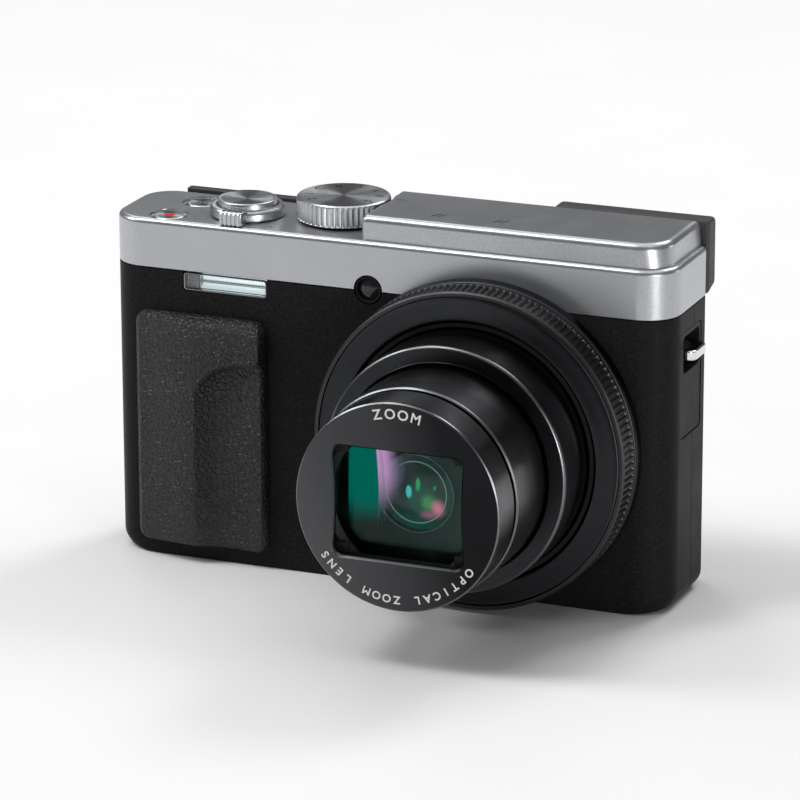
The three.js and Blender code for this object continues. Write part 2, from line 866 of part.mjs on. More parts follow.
// ---- Inside the body ----
// Room for the battery case, left free by the plates behind it.
const caseRoom = box(
  caseLeft - runGap, caseRight + runGap,
  -far, caseRearY + runGap,
  -far, caseTopZ + runGap,
);
const plateRight = cupInnerX - runGap;

function chassis() {
  const rear = chassisY + chassisThickness;
  const footLeft = tripodX + 8;
  const footRight = plateRight - 4;
  const footBottom = wall + runGap;
  const plate = box(-plateRight, plateRight, chassisY, rear, wall + 1.5, seamZ - 2);
  const foot = box(footLeft, footRight, 0, chassisY + edgeGap, footBottom, footBottom + chassisThickness);
  const web = box(footLeft, footRight, chassisY, rear, footBottom, wall + 2);
  const slotBottom = lensZ + sensorHalfHeight + 1.5;
  const slot = box(
    lensX - sensorHalfHeight, lensX + sensorHalfHeight,
    chassisY - 1, rear + 1,
    slotBottom, slotBottom + 2.5,
  );
  return cut(join(plate, foot, web), slot, caseRoom);
}

function mainBoard() {
  const board = box(recessLeft - 8, plateRight, boardY, boardY + boardThickness, wall + 3, seamZ - 4);
  const chip = box(lensX - 32, lensX - 18, boardY - chipHeight, boardY + edgeGap, lensZ - 10, lensZ + 4);
  return cut(board.add(chip), caseRoom);
}

const motorX = lensX - mountFlangeR - motorR + edgeGap;

function zoomMotor() {
  const can = rodAlongZ(motorR, motorLow, motorHigh, motorX, motorY);
  const shaft = rodAlongZ(motorR / 4, motorHigh - 1, motorHigh + motorShaftLength, motorX, motorY, 12);
  return can.add(shaft);
}

function batteryCase() {
  const shell = box(caseLeft, caseRight, caseFrontY, caseRearY, caseBottomZ, caseTopZ);
  const batteryBay = box(
    caseLeft + caseWall, caseRight - caseWall,
    batteryFrontY - runGap, batteryRearY + runGap,
    -1, caseTopZ - caseWall,
  );
  const cardBay = box(
    caseCentreX - cardWidth / 2 - fitGap, caseCentreX + cardWidth / 2 + fitGap,
    cardFrontY - fitGap, cardRearY + fitGap,
    -1, caseBottomZ + cardHeight + 2 * runGap,
  );
  return cut(shell, batteryBay, cardBay);
}

function battery() {
  const bottom = caseBottomZ + fitGap;
  const outline = roundedRect(
    caseCentreX - batteryWidth / 2, caseCentreX + batteryWidth / 2,
    batteryFrontY, batteryRearY, 1.5,
  );
  return alongZ(outline, bottom, bottom + batteryHeight);
}

function memoryCard() {
  const left = caseCentreX - cardWidth / 2;
  const right = caseCentreX + cardWidth / 2;
  const bottom = caseBottomZ + fitGap;
  const top = bottom + cardHeight;
  const chamfer = 2.5;
  const outline = polygon([
    [left, bottom], [right, bottom], [right, top - chamfer], [right - chamfer, top], [left, top],
  ]);
  return alongY(outline, cardFrontY, cardRearY);
}

const latchLeft = doorRight - latchFromRight;
const latchFrontY = doorFrontY + 1.5;

function batteryDoor() {
  const plate = box(doorLeft, doorRight, doorFrontY, doorPivotY, 0, doorThickness);
  const barrel = rodAlongX(doorPivotR, doorLeft, doorRight, doorPivotY, doorPivotR);
  const pocket = box(
    latchLeft - runGap, latchLeft + latchLength + latchTravel + runGap,
    latchFrontY - runGap, latchFrontY + latchWidth + runGap,
    -1, latchPocketDepth,
  );
  return plate.add(barrel).subtract(pocket);
}

function batteryLatch() {
  const latchRearY = latchFrontY + latchWidth;
  const latchRight = latchLeft + latchLength;
  const base = box(latchLeft, latchRight, latchFrontY, latchRearY, runGap, latchPocketDepth - fitGap);
  const rib = (x) => box(x, x + 0.5, latchFrontY + 0.4, latchRearY - 0.4, 0.05, 0.4);
  return join(base, rib(latchLeft + 0.6), rib(latchLeft + 1.7), rib(latchLeft + 2.8));
}

function tripodBush() {
  return ringAlongZ([
    [tripodThreadR, 0.05],
    [tripodBushR, 0.05],
    [tripodBushR, tripodBushHeight],
    [tripodThreadR, tripodBushHeight],
  ], tripodX, tripodY);
}

// ---- Side fittings ----
function sidePlate(side, lowZ) {
  const face = sideFaceX;
  const plateOutline = roundedRect(cupFrontY, cupRearY, lowZ, cupTopZ, plateCornerR);
  const plate = alongX(plateOutline, face - plateThickness, face);
  const cupOutline = roundedRect(cupFrontY, cupRearY, cupBottomZ, cupTopZ, plateCornerR);
  const cup = alongX(cupOutline, cupInnerX, face - 0.5);
  const hollow = roundedRect(
    cupFrontY + cupWall, cupRearY - cupWall,
    cupBottomZ + cupWall, cupTopZ - cupWall,
    cupWall,
  );
  const whole = plate.add(cup).subtract(alongX(hollow, cupInnerX + cupWall, face + 1));
  return side > 0 ? whole : whole.mirror([1, 0, 0]);
}

function strapLug(side) {
  const inner = cupInnerX + cupWall + fitGap;
  const outer = halfWidth + lugReach;
  const innerBend = lugBend + runGap;
  const front = lugCentreY - lugHalfWidth;
  const back = lugCentreY + lugHalfWidth;
  const outline = polygon([
    [inner, front],
    [outer - lugBend, front],
    [outer, front + lugBend],
    [outer, back - lugBend],
    [outer - lugBend, back],
    [inner, back],
    [inner, back - lugThickness],
    [outer - innerBend, back - lugThickness],
    [outer - lugThickness, back - innerBend],
    [outer - lugThickness, front + innerBend],
    [outer - innerBend, front + lugThickness],
    [inner, front + lugThickness],
  ]);
  const bar = alongZ(outline, lugZ - lugHalfHeight, lugZ + lugHalfHeight);
  return side > 0 ? bar : bar.mirror([1, 0, 0]);
}

const socketDoorPinR = socketDoorThickness / 2;
const socketDoorX = -halfWidth + socketDoorPinR;
const socketDoorPivotY = socketFrontY + socketDoorPinR;

function terminalDoor() {
  const inside = -halfWidth + socketDoorThickness;
  const plate = box(-halfWidth, inside, socketDoorPivotY, socketRearY, socketBottomZ, socketTopZ);
  const barrel = rodAlongZ(socketDoorPinR, socketBottomZ, socketTopZ, socketDoorX, socketDoorPivotY, 16);
  return plate.add(barrel);
}

function socketBlock() {
  const left = -halfWidth + wall + fitGap;
  const body = box(
    left, caseLeft - doorOverlap,
    socketFrontY + 0.2, socketRearY - 0.2,
    socketBottomZ + 0.6, socketTopZ - 0.6,
  );
  const slots = socketSlots.map(([low, high]) => box(
    left - 1, left + socketSlotDepth,
    socketSlotY, socketSlotY + socketSlotWidth,
    low, high,
  ));
  return cut(body, ...slots);
}

// ---- Viewfinder ----
const eyeLeft = tubeLeft + finderTubeWall;
const eyeRight = tubeRight - finderTubeWall;
const eyeBottomZ = tubeBottomZ + 1.0;
const eyeTopZ = tubeTopZ - 0.9;
const dioptreX = halfWidth - dioptreFromRight;

function finderHousing() {
  const front = rearY + fitGap;
  const top = humpZ - finderTopDrop;
  const section = polygon([
    [front, finderBottom],
    [finderRear, finderBottom + finderUnderBevel],
    [finderRear, top - finderTopBevel],
    [finderRear - finderTopBevel, top],
    [front, top],
  ]);
  const plan = roundedRect(finderLeft, halfWidth, front - 6, finderRear, 2.0);
  const block = alongX(section, finderLeft, halfWidth).intersect(alongZ(plan, 0, far));
  const tube = box(tubeLeft, tubeRight, -1, front + 0.5, tubeBottomZ, tubeTopZ);
  const light = box(eyeLeft - fitGap, eyeRight + fitGap, -far, far, eyeBottomZ - fitGap, eyeTopZ + fitGap);
  const pocket = box(
    eyeLeft - eyeFrameBorder - fitGap, eyeRight + eyeFrameBorder + fitGap,
    finderRear - eyeFrameThickness, far,
    eyeBottomZ - eyeFrameBorder - fitGap, eyeTopZ + eyeFrameTopBorder + fitGap,
  );
  const dial = rodAlongY(dioptreR + runGap, finderRear - dioptreDepth, far, dioptreX, dioptreZ);
  return cut(block.add(tube), light, pocket, dial);
}

function eyepieceFrame() {
  const border = box(
    eyeLeft - eyeFrameBorder, eyeRight + eyeFrameBorder,
    finderRear - eyeFrameThickness + fitGap, finderRear,
    eyeBottomZ - eyeFrameBorder, eyeTopZ + eyeFrameTopBorder,
  );
  return border.subtract(box(eyeLeft, eyeRight, -far, far, eyeBottomZ, eyeTopZ));
}

function eyepieceLens() {
  return box(eyeLeft, eyeRight, finderRear - 3.5, finderRear - 1.3, eyeBottomZ, eyeTopZ);
}

function finderDisplay() {
  return box(eyeLeft + 1, eyeRight - 1, -0.8, 0.6, eyeBottomZ + 0.3, eyeTopZ - 0.3);
}

function dioptreWheel() {
  return rodAlongY(dioptreR, finderRear - dioptreDepth + runGap, finderRear, dioptreX, dioptreZ);
}

// ---- Screen and its two-axis hinge ----
const hingePlateLeft = (screenLeft + screenRight - hingePlateWidth) / 2;
const hingePlateRight = hingePlateLeft + hingePlateWidth;

function hingePlate() {
  const leaf = box(
    hingePlateLeft, hingePlateRight,
    hingeY - plateHalf, hingeY + plateHalf,
    hingeLowZ, hingeHighZ,
  );
  const barrel = (z) => rodAlongX(hingeBarrelR, hingePlateLeft, hingePlateRight, hingeY, z, 16);
  const pinLeft = hingePlateLeft - pinReach;
  const pinRight = hingePlateRight + pinReach;
  const pin = (z) => rodAlongX(hingePinR, pinLeft, pinRight, hingeY, z, 16);
  return join(leaf, barrel(hingeLowZ), barrel(hingeHighZ), pin(hingeLowZ), pin(hingeHighZ));
}

const screenFront = recessFloorY + 0.4;
const pocketFloor = hingeY + hingeBarrelR + runGap;
const deepPocketFloor = hingeY + 2.3;

function screenFrame() {
  const section = polygon([
    [screenFront, screenBottom],
    [screenRear - 0.5, screenBottom],
    [screenRear, screenBottom + 1.6],
    [screenRear, screenTop - 0.8],
    [screenRear - 0.8, screenTop],
    [screenFront, screenTop],
  ]);
  const panel = alongX(section, screenLeft, screenRight);
  const pocketLeft = hingePlateLeft - runGap;
  const pocketRight = hingePlateRight + runGap;
  const leafPocket = box(pocketLeft, pocketRight, 0, pocketFloor, hingeLowZ - 2, far);
  const topPocket = box(pocketLeft, pocketRight, 0, deepPocketFloor, hingeHighZ - 1.6, far);
  const lowPinRelief = box(
    hingePlateLeft - pinReach - runGap, hingePlateRight + pinReach + runGap,
    0, pocketFloor, hingeLowZ - 1.4, hingeLowZ + 1.4,
  );
  const pinBore = rodAlongX(
    hingePinR + 0.1, hingePlateLeft - pinReach - runGap, hingePlateRight + pinReach + runGap,
    hingeY, hingeHighZ, 16,
  );
  const glassSeat = box(
    screenLeft + glassBorder - fitGap, screenRight - glassBorder + fitGap,
    screenRear - glassThickness - fitGap, far,
    screenBottom + glassBorder - fitGap, screenTop - glassBorder + fitGap,
  );
  return cut(panel, leafPocket, topPocket, lowPinRelief, pinBore, glassSeat);
}

function screenGlass() {
  return box(
    screenLeft + glassBorder, screenRight - glassBorder,
    screenRear - glassThickness, screenRear,
    screenBottom + glassBorder, screenTop - glassBorder,
  );
}

// ---- Controls ----
function modeDial() {
  const head = crownedDisc(modeDialR, deckZ + runGap, modeDialTop, modeDialX, modeDialY);
  const shaft = rodAlongZ(modeShaftR, deckUnder - 4, deckZ + 1, modeDialX, modeDialY);
  return head.add(shaft);
}

function crownedDisc(radius, low, high, x, y) {
  const profile = [
    [0, low],
    [radius - 0.3, low],
    [radius, low + 0.3],
    [radius, high - 0.5],
    [radius - 0.5, high],
    [0, high],
  ];
  return solid(turned(profile, fineSteps, false).rotateX(Math.PI / 2).translate(x, y, 0));
}

const leverFloor = deckZ + 0.8;

function zoomLever() {
  const bore = hubR - 0.8;
  const body = ringAlongZ([
    [bore, deckUnder - 1.6],
    [hubR, deckUnder - 1.6],
    [hubR, deckZ + 0.2],
    [leverR, deckZ + 0.2],
    [leverR, leverTop],
    [shutterR + 0.25, leverTop],
    [shutterR + 0.25, leverFloor],
    [bore, leverFloor],
  ], shutterX, shutterY);
  const tabLeft = shutterX - leverTabFromLeft;
  const tab = box(
    tabLeft, tabLeft + leverTabWidth,
    shutterY - leverTabReach, shutterY - leverR + 0.8,
    deckZ + runGap, leverTop,
  );
  return body.add(tab);
}

function shutterButton() {
  const capBottom = leverFloor + shutterTravel + 0.2;
  const head = crownedDisc(shutterR, capBottom, shutterTop, shutterX, shutterY);
  const stem = rodAlongZ(hubR - 0.8 - runGap, stemFootZ, capBottom + 0.3, shutterX, shutterY);
  return head.add(stem);
}

function smallButton(x, y) {
  return rodAlongZ(smallButtonR, stemFootZ, deckZ - edgeGap, x, y, 24);
}

function rearButton(x, z) {
  return rodAlongY(rearButtonR, innerRearY - buttonFootDepth, rearY + rearButtonProud, x, z);
}

function controlWheel() {
  return ringAlongY([
    [setButtonR + 0.5, rearY + fitGap],
    [wheelR, rearY + fitGap],
    [wheelR - 0.4, rearY + 1.2],
    [wheelR - 1.6, rearY + 1.7],
    [setButtonR + 1.2, rearY + 1.5],
    [setButtonR + 0.5, rearY + 1.1],
  ], wheelX, wheelZ, mediumSteps);
}

function setButton() {
  return rodAlongY(setButtonR, innerRearY - buttonFootDepth, rearY + setButtonProud, wheelX, wheelZ, 24);
}

function finderButton() {
  const foot = innerRearY - buttonFootDepth;
  return rodAlongY(finderButtonR, foot, rearY + rearButtonProud, finderButtonX, finderButtonZ);
}

function screw(x, y) {
  const head = rodAlongZ(screwHeadR, screwHeadLow, screwHeadTop, x, y, 12);
  const shank = rodAlongZ(screwShankR, screwHeadTop - 0.2, screwLength, x, y, 12);
  const slot = box(x - 0.9, x + 0.9, y - 0.2, y + 0.2, 0, screwHeadLow + runGap);
  return head.add(shank).subtract(slot);
}

const screwPlaces = [[caseRight + 7.3, frontY + 4.4], [halfWidth - 6.2, frontY + 7.4]];
const screwHoles = screwPlaces.map(([x, y]) => join(
  rodAlongZ(screwHeadR + fitGap, -1, screwHeadTop + edgeGap, x, y, 12),
  rodAlongZ(screwShankR + fitGap, -1, wall + 1, x, y, 12),
));

// ---- Assembly ----
const looks = {
  silver: { color: 0xa6a9ae, roughness: 0.35, metalness: 0.85 },
  blackMetal: { color: 0x1b1c1e, roughness: 0.45, metalness: 0.5 },
  barrelBlack: { color: 0x131416, roughness: 0.3, metalness: 0.6 },
  blackPlastic: { color: 0x1c1d1e, roughness: 0.5, metalness: 0.0 },
  darkGrey: { color: 0x3b3b3d, roughness: 0.5, metalness: 0.1 },
  rubber: { color: 0x242525, roughness: 0.8, metalness: 0.0 },
  chrome: { color: 0xd5d7da, roughness: 0.15, metalness: 1.0 },
  steel: { color: 0x9da0a4, roughness: 0.35, metalness: 1.0 },
  brass: { color: 0xb59a5b, roughness: 0.4, metalness: 1.0 },
  board: { color: 0x1f5b38, roughness: 0.6, metalness: 0.0 },
  glass: { color: 0x9fc4bd, roughness: 0.05, metalness: 0.0 },
  window: { color: 0xe9f1f2, roughness: 0.15, metalness: 0.0 },
  screen: { color: 0x0a0b0c, roughness: 0.1, metalness: 0.0 },
  battery: { color: 0x2b2c30, roughness: 0.6, metalness: 0.0 },
  card: { color: 0x1f3f7a, roughness: 0.5, metalness: 0.0 },
};

const camera = new THREE.Group();

function add(name, shape, look) {
  const mesh = new THREE.Mesh(geometryOf(shape), new THREE.MeshStandardMaterial(looks[look]));
  mesh.name = name;
  camera.add(mesh);
}

add('top_cover', topCover(), 'silver');
add('front_cover', cut(frontCover(), ...screwHoles), 'blackMetal');
add('rear_cover', rearCover(), 'blackPlastic');
add('chassis', chassis(), 'steel');
add('grip_pad', gripPad(), 'rubber');
add('thumb_rest', thumbRest(), 'rubber');
add('flash_window', flashWindow(), 'window');
add('flash_unit', flashUnit(), 'steel');
add('focus_lamp_lens', lampLens(), 'screen');

add('lens_base', lensBase(), 'blackMetal');
add('control_ring', controlRing(), 'barrelBlack');
add('front_trim_ring', frontTrimRing(), 'barrelBlack');
add('fixed_barrel', fixedBarrel(), 'blackPlastic');
add('outer_barrel', outerBarrel(), 'barrelBlack');
add('inner_barrel', innerBarrel(), 'barrelBlack');
add('front_cap', frontCap(), 'barrelBlack');
add('lens_baffle', lensBaffle(), 'blackPlastic');
add('front_element', glass(frontGlassR, baffleFront - edgeGap, 3.4, 0.8), 'glass');
add('aperture_unit', apertureUnit(), 'blackPlastic');
add('rear_element', glass(rearGlassR, rearGlassFront, 3.0, 0.6), 'glass');
add('barrier_blade_upper_front', blade(1, bladeFront, bladeFrontRear, false), 'blackMetal');
add('barrier_blade_lower_front', blade(-1, bladeFront, bladeFrontRear, false), 'blackMetal');
add('barrier_blade_upper_rear', blade(1, bladeBack, bladeBackRear, true), 'blackMetal');
add('barrier_blade_lower_rear', blade(-1, bladeBack, bladeBackRear, true), 'blackMetal');
add('image_sensor', imageSensor(), 'screen');
add('zoom_motor', zoomMotor(), 'steel');

add('main_board', mainBoard(), 'board');
add('battery_case', batteryCase(), 'blackPlastic');
add('battery', battery(), 'battery');
add('memory_card', memoryCard(), 'card');
add('battery_door', batteryDoor(), 'blackPlastic');
add('battery_latch', batteryLatch(), 'blackPlastic');
add('tripod_bush', tripodBush(), 'brass');
screwPlaces.forEach(([x, y], index) => add(`bottom_screw_${index + 1}`, screw(x, y), 'steel'));

add('side_plate_right', sidePlate(1, plateBottomZ), 'blackPlastic');
add('side_plate_left', sidePlate(-1, cupBottomZ), 'blackPlastic');
add('strap_lug_right', strapLug(1), 'chrome');
add('strap_lug_left', strapLug(-1), 'chrome');
add('terminal_door', terminalDoor(), 'blackPlastic');
add('terminal_sockets', socketBlock(), 'blackPlastic');

add('finder_housing', finderHousing(), 'darkGrey');
add('eyepiece_frame', eyepieceFrame(), 'rubber');
add('eyepiece_lens', eyepieceLens(), 'glass');
add('finder_display', finderDisplay(), 'screen');
add('dioptre_wheel', dioptreWheel(), 'darkGrey');

add('hinge_plate', hingePlate(), 'steel');
add('screen_frame', screenFrame(), 'blackPlastic');
add('screen_glass', screenGlass(), 'screen');

add('mode_dial', modeDial(), 'silver');
add('zoom_lever', zoomLever(), 'silver');
add('shutter_button', shutterButton(), 'silver');
add('power_button', smallButton(powerX, powerY), 'silver');
add('movie_button', smallButton(movieX, movieY), 'silver');
for (const [name, x, z] of rearButtons) {
  add(name, rearButton(x, z), 'blackPlastic');
}
add('control_wheel', controlWheel(), 'blackPlastic');
add('set_button', setButton(), 'blackPlastic');
add('finder_button', finderButton(), 'blackPlastic');

export default camera;
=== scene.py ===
"""Looks of a compact digital camera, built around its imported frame.

Sizes below are in millimetres and become metres when a mesh is made.
"""
import math

import bmesh
import bpy
import numpy as np
from mathutils import Matrix, Quaternion, Vector


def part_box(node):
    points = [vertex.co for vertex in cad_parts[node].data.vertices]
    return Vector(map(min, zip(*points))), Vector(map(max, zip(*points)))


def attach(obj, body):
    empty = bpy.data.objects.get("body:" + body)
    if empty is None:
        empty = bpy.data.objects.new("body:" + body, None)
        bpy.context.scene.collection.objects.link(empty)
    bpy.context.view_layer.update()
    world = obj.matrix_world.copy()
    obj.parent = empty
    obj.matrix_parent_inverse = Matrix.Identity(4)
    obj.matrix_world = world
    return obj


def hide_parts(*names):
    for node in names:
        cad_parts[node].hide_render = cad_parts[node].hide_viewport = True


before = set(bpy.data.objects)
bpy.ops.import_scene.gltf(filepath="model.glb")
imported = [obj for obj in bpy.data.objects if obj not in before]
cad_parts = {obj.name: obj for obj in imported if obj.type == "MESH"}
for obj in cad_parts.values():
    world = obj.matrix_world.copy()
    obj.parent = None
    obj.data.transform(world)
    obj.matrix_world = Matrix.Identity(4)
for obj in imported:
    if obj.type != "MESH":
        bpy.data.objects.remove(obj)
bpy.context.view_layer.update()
MM = 0.001
TAU = 2 * math.pi


# ---- Reading the frame ----
def span(node):
    """Lowest and highest x, y and z of a CAD node, in millimetres."""
    low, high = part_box(node)
    return [value / MM for axis in range(3) for value in (low[axis], high[axis])]


def centre_of(node):
    x0, x1, y0, y1, z0, z1 = span(node)
    return (x0 + x1) / 2, (y0 + y1) / 2, (z0 + z1) / 2


def grown(node, gap):
    """A node's box with a gap all round it."""
    return [value + gap * (-1) ** (k + 1) for k, value in enumerate(span(node))]


def radius_of(node):
    x0, x1, *_ = span(node)
    return (x1 - x0) / 2


_, HALF, FRONT, REAR, SEAM, HUMP = span("top_cover")
LENS_X, _, LENS_Z = centre_of("front_cap")
LENS = (LENS_X, LENS_Z)
DECK = 64.1  # level of the top plate beside the raised half
HUMP_INSET = 1.3
WALL = 1.4  # of the covers
SPLIT = 2.9  # where the front and rear covers meet
GAP = 0.15  # between neighbours
FRONT_CORNER = 6.5
CORNERS = (FRONT_CORNER, FRONT_CORNER, 1.6, 6.0)
BOTTOM_CORNER = 3.4
CORNER_STEPS = 8
FRAME_STEPS = 12


# ---- Mesh helpers ----
def placed(name, data):
    """An object in the scene that holds the given data."""
    obj = bpy.data.objects.new(name, data)
    bpy.context.scene.collection.objects.link(obj)
    return obj


def mesh_object(name, verts, faces):
    mesh = bpy.data.meshes.new(name)
    mesh.from_pydata([tuple(c * MM for c in v) for v in verts], [], faces)
    mesh.update()
    obj = placed(name, mesh)
    outward(obj)
    return obj


def outward(obj):
    bm = bmesh.new()
    bm.from_mesh(obj.data)
    bmesh.ops.recalc_face_normals(bm, faces=bm.faces)
    bm.to_mesh(obj.data)
    bm.free()


def loft(name, rings, closed=False):
    """A skin over rings with the same number of points, capped unless it closes on itself."""
    count = len(rings[0])
    verts = [p for ring in rings for p in ring]
    faces = []
    for r in range(len(rings) if closed else len(rings) - 1):
        a = r * count
        b = ((r + 1) % len(rings)) * count
        for i in range(count):
            j = (i + 1) % count
            faces.append((a + i, a + j, b + j, b + i))
    if not closed:
        faces.append(tuple(range(count)))
        faces.append(tuple(range((len(rings) - 1) * count, len(rings) * count)))
    return mesh_object(name, verts, faces)


def lathe(name, profile, centre, axis="y", steps=160, closed=True, shape=None):
    """Turns a profile of (radius, place on the axis), which shape(radius, place, angle) may ripple."""
    rings = []
    for radius, place in profile:
        ring = []
        for k in range(steps):
            angle = TAU * k / steps
            r = shape(radius, place, angle) if shape else radius
            u = centre[0] + r * math.cos(angle)
            v = centre[1] + r * math.sin(angle)
            ring.append({"x": (place, u, v), "y": (u, place, v), "z": (u, v, place)}[axis])
        rings.append(ring)
    return loft(name, rings, closed)


def outline(a0, a1, b0, b1, radii, steps=10):
    """A rounded rectangle. radii run from the corner (a0, b0) round by (a1, b0)."""
    if not isinstance(radii, (tuple, list)):
        radii = (radii,) * 4
    corners = [(a0, b0, 180), (a1, b0, 270), (a1, b1, 0), (a0, b1, 90)]
    points = []
    for (a, b, start), r in zip(corners, radii):
        r = max(r, 0.02)
        ca = a + r if a == a0 else a - r
        cb = b + r if b == b0 else b - r
        for k in range(steps + 1):
            angle = math.radians(start + 90 * k / steps)
            points.append((ca + r * math.cos(angle), cb + r * math.sin(angle)))
    return points


def at_y(points, y):
    return [(a, y, b) for a, b in points]


def at_z(points, z):
    return [(a, b, z) for a, b in points]


def at_x(points, x):
    return [(x, a, b) for a, b in points]


def rounding(top, radius, steps=5, direction=1):
    """(place, inset) pairs that round an edge whose face lies at top."""
    pairs = []
    for k in range(steps + 1):
        angle = math.pi / 2 * k / steps
        back = radius * (1 - math.sin(angle))
        pairs.append((top - direction * back, radius * (1 - math.cos(angle))))
    return pairs


def plate(name, limits, radius, axis, low, high, edge_low=0.0, edge_high=0.0, steps=8):
    """A rounded plate with rounded edges, standing along an axis from low to high."""
    a0, a1, b0, b1 = limits
    place = {"x": at_x, "y": at_y, "z": at_z}[axis]
    levels = rounding(low, edge_low, steps, -1)[::-1] if edge_low > 0 else [(low, 0.0)]
    levels += rounding(high, edge_high, steps) if edge_high > 0 else [(high, 0.0)]
    rings = []
    for position, i in levels:
        rings.append(place(outline(a0 + i, a1 - i, b0 + i, b1 - i, radius - i, CORNER_STEPS), position))
    return loft(name, rings)


def block(name, x0, x1, y0, y1, z0, z1):
    ring = [(x0, y0), (x1, y0), (x1, y1), (x0, y1)]
    return loft(name, [at_z(ring, z0), at_z(ring, z1)])


def rod(name, axis, centre, radius, low, high, steps=48):
    return lathe(name, [(radius, low), (radius, high)], centre, axis, steps, closed=False)


def settle(obj):
    """Applies the modifiers that are on the object."""
    bpy.context.view_layer.update()
    graph = bpy.context.evaluated_depsgraph_get()
    mesh = bpy.data.meshes.new_from_object(obj.evaluated_get(graph))
    obj.modifiers.clear()
    obj.data = mesh
    return obj


def boolean(target, tools, operation="DIFFERENCE"):
    for tool in tools if isinstance(tools, (list, tuple)) else [tools]:
        modifier = target.modifiers.new("shape", "BOOLEAN")
        modifier.object = tool
        modifier.operation = operation
        modifier.solver = "EXACT"
        settle(target)
        bpy.data.objects.remove(tool)
    return target


def turn_and_move(obj, angle, axis, x, y, z):
    """Turns a mesh about an axis through the origin, then moves it."""
    place = Matrix.Rotation(angle, 4, axis)
    place.translation = Vector((x * MM, y * MM, z * MM))
    obj.data.transform(place)
    return obj


def merge(name, objects):
    """Joins loose bodies into one piece."""
    bm = bmesh.new()
    for obj in objects:
        bm.from_mesh(obj.data)
        bpy.data.objects.remove(obj)
    mesh = bpy.data.meshes.new(name)
    bm.to_mesh(mesh)
    bm.free()
    return placed(name, mesh)


def soften(obj, width, segments=2, angle=40):
    """Rounds sharp edges."""
    modifier = obj.modifiers.new("edge", "BEVEL")
    modifier.width = width * MM
    modifier.segments = segments
    modifier.limit_method = "ANGLE"
    modifier.angle_limit = math.radians(angle)
    modifier.use_clamp_overlap = True
    return settle(obj)


def shade(obj, angle=35):
    obj.data.polygons.foreach_set("use_smooth", [True] * len(obj.data.polygons))
    obj.data.set_sharp_from_angle(angle=math.radians(angle))
    modifier = obj.modifiers.new("normals", "WEIGHTED_NORMAL")
    modifier.keep_sharp = True
    modifier.weight = 80


def dress(obj, name, look, body, stands_for=(), angle=35):
    """Names a piece, gives it its material, and lets it ride on its body."""
    material, slot = look
    obj.name = name
    obj.data.name = name
    obj.data.materials.clear()
    obj.data.materials.append(material)
    shade(obj, angle)
    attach(obj, body)
    if stands_for:
        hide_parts(*stands_for)
    return obj


# ---- Materials ----
class Nodes:
    """A short way to write a node tree."""

    def __init__(self, name):
        self.material = bpy.data.materials.new(name)
        self.material.use_nodes = True
        self.tree = self.material.node_tree
        self.tree.nodes.clear()
        self.output = self.add("ShaderNodeOutputMaterial")

    def add(self, kind, inputs=(), **settings):
        """A node; inputs that are sockets are linked, and others are set."""
        node = self.tree.nodes.new(kind)
        for key, value in settings.items():
            setattr(node, key, value)
        for key, value in dict(inputs).items():
            if isinstance(value, bpy.types.NodeSocket):
                self.tree.links.new(value, node.inputs[key])
            else:
                node.inputs[key].default_value = value
        return node

    def point(self, scale=(1, 1, 1)):
        where = self.add("ShaderNodeTexCoord").outputs["Object"]
        return self.add("ShaderNodeMapping", {"Vector": where, "Scale": scale}).outputs["Vector"]

    def noise(self, grain, detail=2.0, roughness=0.5, stretch=(1, 1, 1)):
        """Noise whose grain is a size in millimetres."""
        inputs = {"Scale": 1 / (grain * MM), "Detail": detail, "Roughness": roughness}
        inputs["Vector"] = self.point(stretch)
        return self.add("ShaderNodeTexNoise", inputs).outputs["Fac"]

    def spread(self, value, low, high, from_low=0.3, from_high=0.7, **settings):
        """Carries value from one range to another."""
        inputs = {"Value": value, "From Min": from_low, "From Max": from_high, "To Min": low, "To Max": high}
        return self.add("ShaderNodeMapRange", inputs, **settings).outputs["Result"]

    def fade(self, value, low, high, start=0.0, end=1.0):
        """Runs softly from start to end while value goes from low to high."""
        return self.spread(value, start, end, low, high, interpolation_type="SMOOTHSTEP")

    def blend(self, factor, first, second):
        return self.add("ShaderNodeMix", {0: factor, 6: first, 7: second}, data_type="RGBA").outputs[2]

    def mottle(self, colour, share, pattern, low=0.3, high=0.7):
        """A colour that a pattern makes darker and lighter by a share."""
        dark = rgb(*[c * (1 - share) for c in colour[:3]])
        light = rgb(*[c * (1 + share) for c in colour[:3]])
        return self.blend(self.spread(pattern, 0, 1, low, high), dark, light)

    def maths(self, operation, first, second=0.0):
        return self.add("ShaderNodeMath", {0: first, 1: second}, operation=operation).outputs[0]

    def times(self, first, second):
        return self.maths("MULTIPLY", first, second)

    def bump(self, height, depth, normal=None):
        inputs = {"Height": height, "Distance": depth * MM, "Strength": 1.0}
        if normal:
            inputs["Normal"] = normal
        return self.add("ShaderNodeBump", inputs).outputs["Normal"]

    def mix(self, factor, first, second):
        return self.add("ShaderNodeMixShader", {0: factor, 1: first, 2: second}).outputs[0]

    def lathe_marks(self, axis):
        """The direction that marks left by turning take about an axis."""
        return self.add("ShaderNodeTangent", direction_type="RADIAL", axis=axis).outputs[0]

    def show(self, shader):
        self.tree.links.new(shader, self.output.inputs["Surface"])
        return self.material

    def surface(self, **inputs):
        """Closes the tree with a principled shader and returns the material."""
        sockets = {}
        for key, value in inputs.items():
            sockets[key.replace("_", " ").title().replace("Ior", "IOR")] = value
        return self.show(self.add("ShaderNodeBsdfPrincipled", sockets).outputs[0])


def rgb(red, green=None, blue=None):
    green = red if green is None else green
    blue = red if blue is None else blue
    return (red, green, blue, 1.0)


